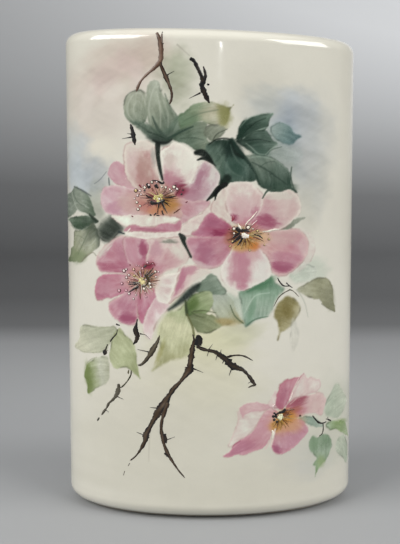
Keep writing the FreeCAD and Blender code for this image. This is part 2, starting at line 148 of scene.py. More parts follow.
class Canvas:
    """Colour and paint thickness at a set of points on the wall."""

    def __init__(self, s, z):
        self.s = s
        self.z = z
        self.colour = np.tile(np.array(PORCELAIN, float), (len(s), 1))
        self.relief = np.zeros(len(s))
        self.owner = np.zeros(len(s), int)
        self.motifs = ["glaze_coat"]

    def near(self, points, margin):
        """The canvas points about some other points: their indices, s and z."""
        low = np.min(points, axis=0) - margin
        high = np.max(points, axis=0) + margin
        index = np.nonzero((self.s > low[0]) & (self.s < high[0])
                           & (self.z > low[1]) & (self.z < high[1]))[0]
        return index, self.s[index], self.z[index]

    def begin(self, motif):
        """What is painted from now on belongs to this motif."""
        self.motifs.append(motif)

    def lay(self, index, colour, cover):
        """Paint over points; cover is 0 for none and 1 for opaque."""
        cover = np.clip(cover, 0, 1)
        self.colour[index] += (np.asarray(colour, float) - self.colour[index]) * cover[:, None]

    def build_up(self, index, thickness, cover):
        """Enamel laid on thickly enough to stand out; it joins the motif being painted."""
        cover = np.clip(cover, 0, 1)
        self.relief[index] += (thickness - self.relief[index] * 0.6) * cover
        self.owner[index[cover > OWN_FROM]] = len(self.motifs) - 1


def dab(canvas, centre, size, colour, cover, turn, seed, ragged=0.5, inside=None):
    """One soft touch of the brush: an oval that fades out raggedly."""
    index, s, z = canvas.near([centre], 1.9 * max(size))
    ds = s - centre[0]
    dz = z - centre[1]
    angle = math.radians(turn)
    u = (ds * math.cos(angle) + dz * math.sin(angle)) / size[0]
    v = (dz * math.cos(angle) - ds * math.sin(angle)) / size[1]
    wobble = waver(u * 1.6 + seed, v * 2.6, seed) * ragged
    amount = cover * (1 - smooth(0.35, 1.5, np.hypot(u, v) + wobble))
    if inside is not None:
        amount = amount * smooth(-0.2, 1.0, depth_inside(inside, s, z))
    canvas.lay(index, colour, amount)


def petal(canvas, outline, heart, seed, tip, root, rim, rim_width=1.4, cover=0.97, soft=0.5,
          touches=()):
    """A petal: root colour by the heart of the rose, tip colour outside, brushed outwards."""
    edge = through(outline, closed=True)
    index, s, z = canvas.near(edge, 2.0)
    uneven = waver(s * 0.9, z * 0.9, seed + 40) * 0.9 + waver(s * 0.3, z * 0.3, seed + 41)
    depth = depth_inside(edge, s, z) + uneven
    reach = np.hypot(s - heart[0], z - heart[1])
    turn = np.arctan2(z - heart[1], s - heart[0])
    outwards = reach / np.hypot(edge[:, 0] - heart[0], edge[:, 1] - heart[1]).max()
    share = smooth(0.12, 0.85, outwards)
    colour = np.outer(1 - share, root) + np.outer(share, tip)
    bristles = waver(turn * 6.0 + seed, reach * 0.11, seed)
    fine = waver(turn * 24.0, reach * 0.25 + seed, seed + 9)
    blotch = waver(s * 0.17 + seed, z * 0.17, seed + 17)
    colour = colour * 0.86 + 0.14 * colour.mean(axis=1, keepdims=True)
    colour += (bristles * 40 + fine * 16 + blotch * 38)[:, None] * BRISTLE_TINT
    if rim is not None:
        lip = np.exp(-(np.maximum(depth, 0) / rim_width) ** 2) * smooth(0.2, 0.5, outwards)
        lip = lip * (0.65 + 0.5 * grain(s * 0.35, z * 0.35, seed + 5))
        colour += (np.asarray(rim, float) - colour) * np.clip(lip, 0, 1)[:, None]
    amount = cover * smooth(-soft, soft, depth)
    canvas.lay(index, colour, amount)
    drawn = smooth(0.42, 0.78, grain(s * 0.13, z * 0.13, seed + 23)) * 0.5
    canvas.lay(index, CONTOUR, drawn * np.exp(-((depth + 0.1) / 0.55) ** 2) * cover)
    canvas.build_up(index, 0.12 + 0.10 * bristles + 0.05 * fine, amount)
    for centre, size, shade, strength, angle in touches:
        greyer = [0.84 * part + 0.16 * sum(shade) / 3 - 4 for part in shade]
        dab(canvas, centre, size, greyer, strength, angle, seed + 3, ragged=1.3, inside=edge)


def blade(canvas, outline, start, end, colours, cover=0.95, soft=0.6, *, seed):
    """A leaf laid in with a flat brush: its colours run in turn from a start to an end point."""
    edge = through(outline, closed=True)
    index, s, z = canvas.near(edge, 3.0)
    depth = depth_inside(edge, s, z) + waver(s * 0.45, z * 0.45, seed + 40) * 1.3
    run = np.subtract(end, start)
    length = math.hypot(*run)
    along = ((s - start[0]) * run[0] + (z - start[1]) * run[1]) / length ** 2
    aside = ((z - start[1]) * run[0] - (s - start[0]) * run[1]) / length
    drift = along + waver(s * 0.11, z * 0.11, seed) * 0.5
    stops = np.linspace(0, 1, len(colours))
    colour = np.stack([np.interp(drift, stops, [shade[part] for shade in colours])
                       for part in range(3)], axis=-1)
    bend = 5 * (along - 0.5) ** 2
    bristles = waver(along * length * 0.09, (aside + bend) * 0.75 + seed, seed + 7)
    fine = waver(along * length * 0.3, (aside + bend) * 2.6, seed + 8)
    blotch = waver(s * 0.2, z * 0.2, seed + 3)
    colour += (bristles * 34 + fine * 14 + blotch * 26)[:, None]
    amount = cover * smooth(-soft, soft, depth)
    canvas.lay(index, colour, amount)
    drawn = smooth(0.5, 0.8, grain(s * 0.12, z * 0.12, seed + 23)) * 0.7
    dark = np.array(colours, float).mean(axis=0) * 0.62
    canvas.lay(index, dark, drawn * np.exp(-((depth - 0.3) / 0.6) ** 2) * cover)
    canvas.build_up(index, 0.07 + 0.06 * bristles, amount)


def wipe(canvas, points, colour, cover, soft, seed):
    """A painted line; points are (s, z, width)."""
    run = through(points, steps=6)
    path = run[:, :2]
    index, s, z = canvas.near(path, run[:, 2].max() + 2)
    gap, along = nearest(path, s, z)
    steps = np.concatenate([[0], np.cumsum(np.hypot(*np.diff(path, axis=0).T))])
    width = np.interp(along, steps / steps[-1], run[:, 2])
    broken = DRYNESS * waver(s * 1.3, z * 1.3, seed)
    canvas.lay(index, colour, cover * smooth(-soft, soft, width / 2 - gap) * (1 - broken))


# ---------------------------------------------------------------- painting: motifs

# Each tint: centre, half-widths, colour, cover and turn in degrees
TINTS_AND_SHADE = [
    ((-66, 296), (34, 18), (194, 180, 168), 0.75, 20),
    ((-42, 304), (16, 12), (188, 172, 160), 0.6, 0),
    ((-85, 268), (30, 30), (197, 187, 178), 0.6, 30),
    ((-72, 290), (12, 9), (198, 180, 174), 0.6, 30),
    ((-56, 299), (10, 8), (200, 181, 175), 0.6, -20),
    ((-66, 281), (9, 6), (216, 209, 199), 0.65, 20),
    ((-49, 291), (5, 9), (208, 193, 187), 0.5, 0),
    ((-86, 276), (6, 12), (212, 204, 195), 0.5, -25),
    ((-75, 245), (16, 10), (216, 212, 198), 0.7, 10),
    ((-98, 232), (16, 22), (170, 180, 188), 0.75, 10),
    ((-80, 228), (12, 12), (162, 168, 172), 0.7, 0),
    ((-106, 250), (12, 14), (188, 192, 190), 0.5, 0),
    ((-20, 288), (12, 18), (154, 158, 136), 0.8, 10),
    ((8, 290), (22, 26), (210, 207, 195), 0.9, 0),
    ((30, 283), (18, 20), (200, 197, 185), 0.6, 0),
    ((44, 266), (24, 15), (166, 172, 172), 0.6, -25),
    ((60, 258), (20, 18), (172, 178, 182), 0.6, 0),
    ((54, 240), (20, 20), (146, 156, 154), 0.65, 10),
    ((50, 254), (14, 8), (138, 152, 152), 0.6, -10),
    ((57, 264), (15, 17), (160, 169, 180), 0.6, -15),
    ((64, 236), (8, 20), (166, 174, 184), 0.5, 5),
    ((66, 240), (10, 34), (176, 180, 182), 0.5, 10),
    ((70, 222), (12, 20), (180, 180, 172), 0.6, 0),
    ((72, 250), (16, 30), (190, 190, 184), 0.5, 0),
    ((64, 205), (9, 16), (190, 188, 176), 0.5, 0),
    ((-80, 208), (8, 14), (156, 160, 148), 0.7, 0),
    ((-14, 124), (30, 30), (198, 194, 164), 0.6, 0),
    ((0, 118), (24, 14), (205, 203, 168), 0.7, 10),
    ((20, 125), (14, 8), (188, 188, 160), 0.6, 10),
    ((-8, 92), (34, 26), (205, 202, 176), 0.7, 0),
    ((-40, 80), (40, 40), (204, 200, 184), 0.5, 0),
    ((60, 40), (20, 14), (184, 184, 182), 0.7, 0),
    ((72, 34), (15, 11), (178, 183, 191), 0.5, 10),
    ((78, 40), (16, 14), (182, 186, 176), 0.6, 0),
    ((96, 58), (22, 30), (182, 186, 170), 0.5, 0),
    ((70, 165), (12, 8), (182, 192, 176), 0.6, 0),
    # The last two are painted shade: wide bands that darken the lower front of the wall.
    ((0, 20), (120, 16), (198, 195, 181), 0.6, 0),
    ((0, 55), (110, 40), (197, 194, 179), 0.6, 0),
]


def paint_washes_and_shade(canvas):
    """The tints rubbed thinly over the bare glaze before the motifs, and two wide bands of painted shade
    darkening the lower wall.
    """
    for number, (centre, size, colour, cover, turn) in enumerate(TINTS_AND_SHADE):
        dab(canvas, centre, size, colour, cover, turn, number + 11, ragged=0.7)
    s, z = canvas.s, canvas.z
    tinted_by = np.abs(canvas.colour - PORCELAIN).max(axis=1)
    scrape = waver((s + 1.4 * z) * 0.05, (z - 0.5 * s) * 0.3, 61)
    rub = waver((s - 0.6 * z) * 0.035, (z + 0.4 * s) * 0.16, 64)
    rough = 0.25 + 0.75 * smooth(40, 120, z)
    canvas.colour += (tinted_by * rough * (scrape * 0.4 + rub * 0.8))[:, None]


# Each leaf: outline, where its colours start and end, the colours, and any cover and softness
LEAVES = {
    "leaves_top_left": [
        ([(-57, 276), (-58, 271), (-57, 266), (-54, 262), (-50, 260), (-46, 260.5), (-42, 263),
          (-41, 269), (-41.5, 276), (-44, 281), (-49, 281.5), (-54, 280)],
         (-49, 260), (-50, 281), [(98, 110, 94), (140, 147, 129), (158, 161, 145)]),
        ([(-42, 281), (-40, 286), (-37, 287.5), (-34, 286), (-32.5, 282), (-31, 278), (-28, 275),
          (-26, 270), (-23, 266), (-21, 264), (-24, 258), (-28, 253), (-33, 252), (-38, 256),
          (-41, 262), (-42, 270)],
         (-27, 254), (-38, 286), [(84, 98, 84), (140, 148, 130), (160, 166, 150)]),
        ([(-53, 262), (-47, 257), (-42, 252.5), (-36, 250), (-30, 249.5), (-24, 251), (-20, 256),
          (-16, 262), (-22, 265), (-28, 258), (-34, 256), (-40, 259.5), (-46, 262)],
         (-34, 250), (-32, 262), [(62, 76, 66), (96, 112, 96)], 0.9, 1.2),
        ([(-21, 265), (-17, 268), (-12, 272), (-6, 274), (0, 274), (6, 272), (11, 270.5),
          (14, 272), (12, 269), (11, 264), (8, 259), (3, 258.5), (-3, 260), (-8, 262),
          (-14, 259), (-20, 257)],
         (-20, 260), (13, 266), [(100, 120, 96), (128, 142, 116), (182, 180, 158), (138, 136, 92)]),
        ([(-26, 252), (-20, 257), (-14, 259.5), (-8, 262), (-3, 260), (-4, 254), (-2, 250),
          (0, 247), (-4, 243.5), (-9, 243), (-14, 246), (-18, 248), (-22, 249)],
         (-24, 250), (-4, 258), [(72, 88, 74), (90, 106, 90), (118, 128, 110)]),
        ([(-5, 254), (-4, 258), (0, 259.5), (5, 259.5), (9, 258), (8, 254), (4, 251), (0, 249),
          (-3, 251)],
         (-2, 250), (7, 259), [(104, 112, 96), (146, 150, 134)]),
    ],
    "leaves_top_right": [
        ([(22, 248), (34, 250), (44, 250), (50, 246), (60, 243), (58, 236), (48, 236), (36, 238)],
         (30, 244), (60, 240), [(116, 130, 120), (164, 172, 168)], 0.6, 3.0),
        ([(38, 258), (42, 261), (47, 261), (52, 259), (55, 255), (60, 252.5), (56, 250),
          (54, 248), (50, 247.5), (45, 249), (40, 252)],
         (37, 256), (55, 251), [(138, 152, 146), (104, 126, 122), (72, 98, 98)], 0.92, 0.9),
        ([(15, 250), (17, 254), (18, 259), (20, 262), (24, 264), (30, 266), (35, 267), (40, 267),
          (38, 263), (36, 258), (33, 256), (28, 255.5), (24, 253), (20, 251)],
         (16, 252), (38, 264), [(26, 42, 34), (44, 62, 52), (98, 118, 104)]),
        ([(16, 249.5), (23, 253), (28, 256), (33, 257), (37, 254.5), (40, 250.5), (43, 247.5),
          (39, 244.5), (36, 241), (33, 239.5), (28, 241), (23, 244), (19, 247)],
         (18, 247), (40, 250), [(34, 48, 40), (58, 76, 66), (96, 114, 102)]),
        ([(-4, 244), (1, 248), (8, 250), (14, 249), (17, 244), (21, 240), (24, 236), (28, 232),
          (30, 227), (27, 225), (16, 224), (8, 221.5), (5, 222), (5, 228), (2, 233), (-2, 238)],
         (2, 246), (24, 226), [(58, 74, 64), (66, 86, 74), (36, 52, 44)], 0.95, 0.8),
        ([(-4, 246), (1, 249.5), (7, 250.5), (12, 249), (12, 245), (8, 239), (4, 231), (0, 233),
          (-3, 240)],
         (10, 248), (0, 234), [(40, 54, 46), (84, 102, 90), (112, 126, 114)], 0.92, 0.7),
        ([(13, 249), (19, 243), (25, 236), (29, 229), (28, 224.5), (20, 223.5), (12, 224.5),
          (8, 230), (9, 239)],
         (14, 246), (20, 224), [(28, 42, 36), (62, 82, 72), (86, 104, 94), (50, 68, 58)], 0.92, 0.7),
        ([(21, 240), (27, 241), (33, 240), (38, 239.5), (43, 237), (48, 233.5), (51.5, 230),
          (52.5, 226), (53, 221), (57, 216.5), (50, 219), (45, 217.5), (40, 217), (35, 219),
          (31, 221), (28, 227), (25, 234)],
         (34, 240), (40, 218), [(118, 128, 116), (84, 100, 88), (46, 64, 54)]),
        ([(44, 192), (49, 195.8), (55, 199.3), (64, 200.5), (58, 197), (52, 193.3)],
         (44, 192), (63, 200), [(104, 112, 96), (146, 150, 136)], 0.85),
    ],
    "leaves_left": [
        ([(-118, 213), (-108, 215.5), (-102, 219), (-98, 220), (-92, 217), (-87, 215), (-84, 211),
          (-82, 206), (-80, 201), (-85, 201.5), (-92, 203), (-98, 204), (-104, 201), (-118, 199)],
         (-110, 210), (-82, 205), [(112, 122, 110), (136, 144, 130), (84, 98, 82)]),
        ([(-118, 197), (-110, 196), (-104, 193.5), (-98, 191.5), (-92, 192), (-87, 194),
          (-82, 196), (-78, 197), (-83, 200.5), (-90, 201), (-98, 200), (-106, 199)],
         (-112, 197), (-80, 198), [(124, 138, 122), (84, 100, 84), (50, 62, 50)]),
        ([(-118, 168), (-110, 168.5), (-100, 169), (-94, 169.5), (-88, 174), (-82, 178),
          (-77, 182), (-78, 190), (-82, 196), (-88, 192.5), (-96, 190.5), (-102, 190),
          (-103, 185), (-104, 180), (-108, 178), (-110, 173)],
         (-106, 170), (-80, 192), [(112, 124, 94), (148, 152, 126), (150, 154, 134), (84, 92, 78)]),
        ([(-79, 192), (-78, 187.5), (-74, 185), (-70, 184.5), (-66, 186.5), (-62, 190), (-59, 193),
          (-61, 197), (-64, 200), (-67, 201.5), (-71, 199), (-76, 196)],
         (-78, 196), (-62, 190), [(88, 96, 84), (46, 54, 46), (32, 40, 34)], 0.9, 3.0),
    ],
    "leaves_lower_left": [
        ([(-104, 110), (-100, 114), (-97, 118), (-97, 122), (-95, 126), (-88, 127), (-80, 126.5),
          (-72, 127.5), (-66, 128), (-64, 125), (-67, 120), (-70, 115), (-72, 111), (-80, 109),
          (-88, 108.5), (-94, 108)],
         (-100, 112), (-68, 124), [(186, 186, 162), (178, 180, 156), (160, 164, 138)], 0.85),
        ([(-66, 124), (-62, 127), (-58, 123), (-54, 120), (-51, 116), (-50, 110), (-49.5, 103),
          (-48, 97), (-47.5, 94), (-52, 98), (-56, 101), (-60, 101), (-64, 99.5), (-68, 102),
          (-70, 107), (-69, 114), (-68, 119)],
         (-66, 120), (-50, 100), [(158, 164, 126), (172, 178, 140), (140, 148, 106)], 0.92),
        ([(-71, 106), (-76, 107), (-83, 104), (-88, 101), (-91, 97), (-92, 91), (-89, 86),
          (-89, 80), (-85, 81.5), (-80, 85), (-74, 88), (-71, 91), (-70, 98)],
         (-92, 92), (-71, 98), [(108, 124, 70), (146, 156, 116), (186, 188, 170), (174, 176, 154)],
         0.92),
    ],
    "leaves_centre": [
        ([(10, 152), (15, 150), (19, 148), (22, 140), (23, 132), (17, 134), (12, 140), (9, 148)],
         (14, 151), (20, 134), [(172, 184, 168), (184, 192, 176)], 0.8, 2.2),
        ([(18, 153), (27, 156), (35, 159), (39, 162), (42, 158), (48, 154), (44, 149), (41, 143),
          (39, 139), (36, 136), (29, 134), (23, 130), (21, 133), (20, 140), (19, 147)],
         (30, 160), (28, 132), [(78, 112, 88), (120, 148, 126), (148, 168, 150), (118, 146, 128)],
         0.88, 1.6),
        ([(0, 152), (6, 152.5), (10, 151), (14, 146), (16, 140), (21, 132), (15, 132.5),
          (9, 131), (5, 131), (3, 137), (0, 143)],
         (4, 151), (15, 133), [(160, 168, 154), (156, 162, 140), (150, 144, 106)], 0.9, 1.0),
        ([(-9, 157), (-5, 161), (-1, 164.5), (3, 163), (6, 158), (9, 154), (8, 151), (0, 151),
          (-6, 151.5), (-10, 153)],
         (-8, 154), (4, 160), [(96, 112, 96), (128, 142, 126)]),
        ([(-39, 100), (-35, 106), (-33, 113), (-34, 120), (-36, 126), (-33, 133), (-28, 139),
          (-22, 141), (-17, 145), (-16, 138), (-13, 130), (-11, 124), (-11, 118), (-13, 112),
          (-20, 109), (-28, 107)],
         (-27, 106), (-19, 144), [(156, 156, 116), (184, 186, 150), (194, 194, 160), (158, 168, 128)],
         0.92, 1.5),
        ([(-15, 138), (-8, 140), (-2, 138), (2, 137), (6, 131), (3, 128), (-2, 126), (-8, 126.5),
          (-12, 130)],
         (-12, 136), (4, 129), [(104, 114, 82), (142, 148, 114)]),
        ([(-16, 147), (-13, 150.5), (-8, 152.5), (-1, 153), (1, 148), (0, 143), (-3, 139),
          (-10, 139), (-15, 137), (-17, 142)],
         (-15, 141), (0, 150), [(80, 100, 58), (120, 136, 94), (152, 162, 126)]),
    ],
    "leaves_right": [
        ([(52, 163), (58, 167), (66, 169), (72, 166), (70, 160), (62, 158), (55, 158)],
         (53, 161), (70, 165), [(178, 190, 174), (198, 202, 190)], 0.7, 2.0),
        ([(42, 141), (45, 145), (50, 149), (55, 147), (59, 143), (60, 139), (57, 134), (53, 129),
          (49, 126), (46, 124.5), (44, 120), (45, 126), (44, 131), (41.5, 136)],
         (43, 142), (58, 136), [(116, 108, 64), (126, 118, 74), (170, 164, 134)], 0.92, 1.2),
        ([(57, 152.5), (63, 156), (70, 159), (76, 160), (82, 158.5), (86, 154), (88, 148),
          (88, 143), (90, 135.5), (84, 138), (79, 141), (75, 145), (70, 146), (64, 148.5)],
         (60, 151), (87, 145), [(170, 170, 148), (148, 148, 120), (124, 124, 98)]),
        ([(54, 134), (58, 128), (59, 120), (55, 112), (53, 122)],
         (55, 134), (56, 112), [(186, 186, 174), (202, 200, 188)], 0.5, 1.2),
    ],
    "leaves_lower_right": [
        ([(81, 72), (85, 78), (90, 84), (94, 85), (98, 81), (102, 77), (106, 72), (106, 69),
          (101, 64), (95, 60.5), (88, 62), (82, 65)],
         (84, 68), (102, 74), [(162, 176, 156), (180, 188, 168)], 0.75, 1.2),
        ([(82, 58), (88, 60), (94, 58), (100, 57.5), (105, 55), (108, 50), (110, 47), (112, 43),
          (104, 47), (98, 50), (92, 53), (86, 54)],
         (84, 57), (109, 48), [(150, 168, 140), (126, 148, 100), (150, 164, 130)], 0.88),
        ([(70, 52), (75, 50.5), (79, 52), (85, 50), (88, 44), (86, 38), (82, 33), (78, 31),
          (75, 27), (73, 23.5), (73, 30), (71, 32), (74, 36), (71, 40), (68, 44), (68, 48)],
         (78, 52), (76, 26), [(112, 136, 108), (142, 160, 138), (122, 146, 108)], 0.9),
        ([(93, 44), (97, 47), (103, 46), (107, 42), (110, 36), (110, 27), (106, 26), (101, 31),
          (95, 35), (92, 39)],
         (94, 44), (108, 30), [(176, 184, 166), (158, 170, 148)], 0.85),
        ([(59, 66), (65, 66.5), (72, 64.5), (80, 58), (74, 57.5), (68, 60), (64, 62.5)],
         (60, 66), (78, 59), [(116, 140, 124), (156, 170, 156)], 0.88),
    ],
}


# Each touch: centre, half-widths, colour, cover and turn in degrees
LEAF_TOUCHES = [
    ((8, 265.5), (4.5, 7), (130, 130, 82), 0.75, 10),
    ((-3, 266), (5, 4), (176, 172, 148), 0.6, 20),
    ((-14, 262), (6, 4), (96, 118, 92), 0.6, 20),
    ((20, 257), (2.5, 6), (34, 52, 42), 0.85, -20),
    ((16, 232), (5, 7), (44, 66, 56), 0.7, 30),
    ((14, 244), (6, 5), (30, 44, 38), 0.75, 0),
    ((-34, 250), (7, 3), (50, 62, 54), 0.8, -10),
    ((48, 220), (9, 3), (66, 84, 72), 0.75, -5),
    ((31, 242), (7, 5), (70, 92, 80), 0.5, -20),
    ((-98, 173), (9, 4.5), (120, 132, 98), 0.7, 10),
    ((-95, 193.5), (10, 2.5), (58, 74, 58), 0.75, 0),
    ((-88, 92), (3.5, 10), (106, 120, 66), 0.7, 10),
    ((9, 133.2), (7, 2.4), (158, 140, 92), 0.7, -8),
    ((33, 157.5), (9, 3.2), (78, 116, 86), 0.85, 22),
    ((26, 140), (2.5, 8), (98, 132, 106), 0.6, -15),
    ((-12, 145), (3, 5), (74, 96, 46), 0.7, -30),
    ((-34, 112), (1.6, 9), (136, 134, 76), 0.6, -20),
    ((50, 139), (4, 6), (110, 100, 54), 0.7, 10),
    ((84, 146), (5, 8), (132, 132, 108), 0.5, 20),
    ((99, 57), (9, 2), (126, 148, 94), 0.7, -8),
    ((72, 46), (3.5, 5), (118, 142, 112), 0.7, 0),
    ((78, 33), (4, 4), (140, 158, 108), 0.6, 20),
]


def paint_leaves(canvas):
    """Every leaf, furthest back first, then the deeper and paler touches within them."""
    for motif, leaves in LEAVES.items():
        canvas.begin(motif)
        for number, (outline, start, end, colours, *touch) in enumerate(leaves):
            blade(canvas, outline, start, end, colours, *touch, seed=number * 5 + len(motif))
    for number, (centre, size, colour, cover, turn) in enumerate(LEAF_TOUCHES):
        dab(canvas, centre, size, colour, cover, turn, number + 70, ragged=0.6)


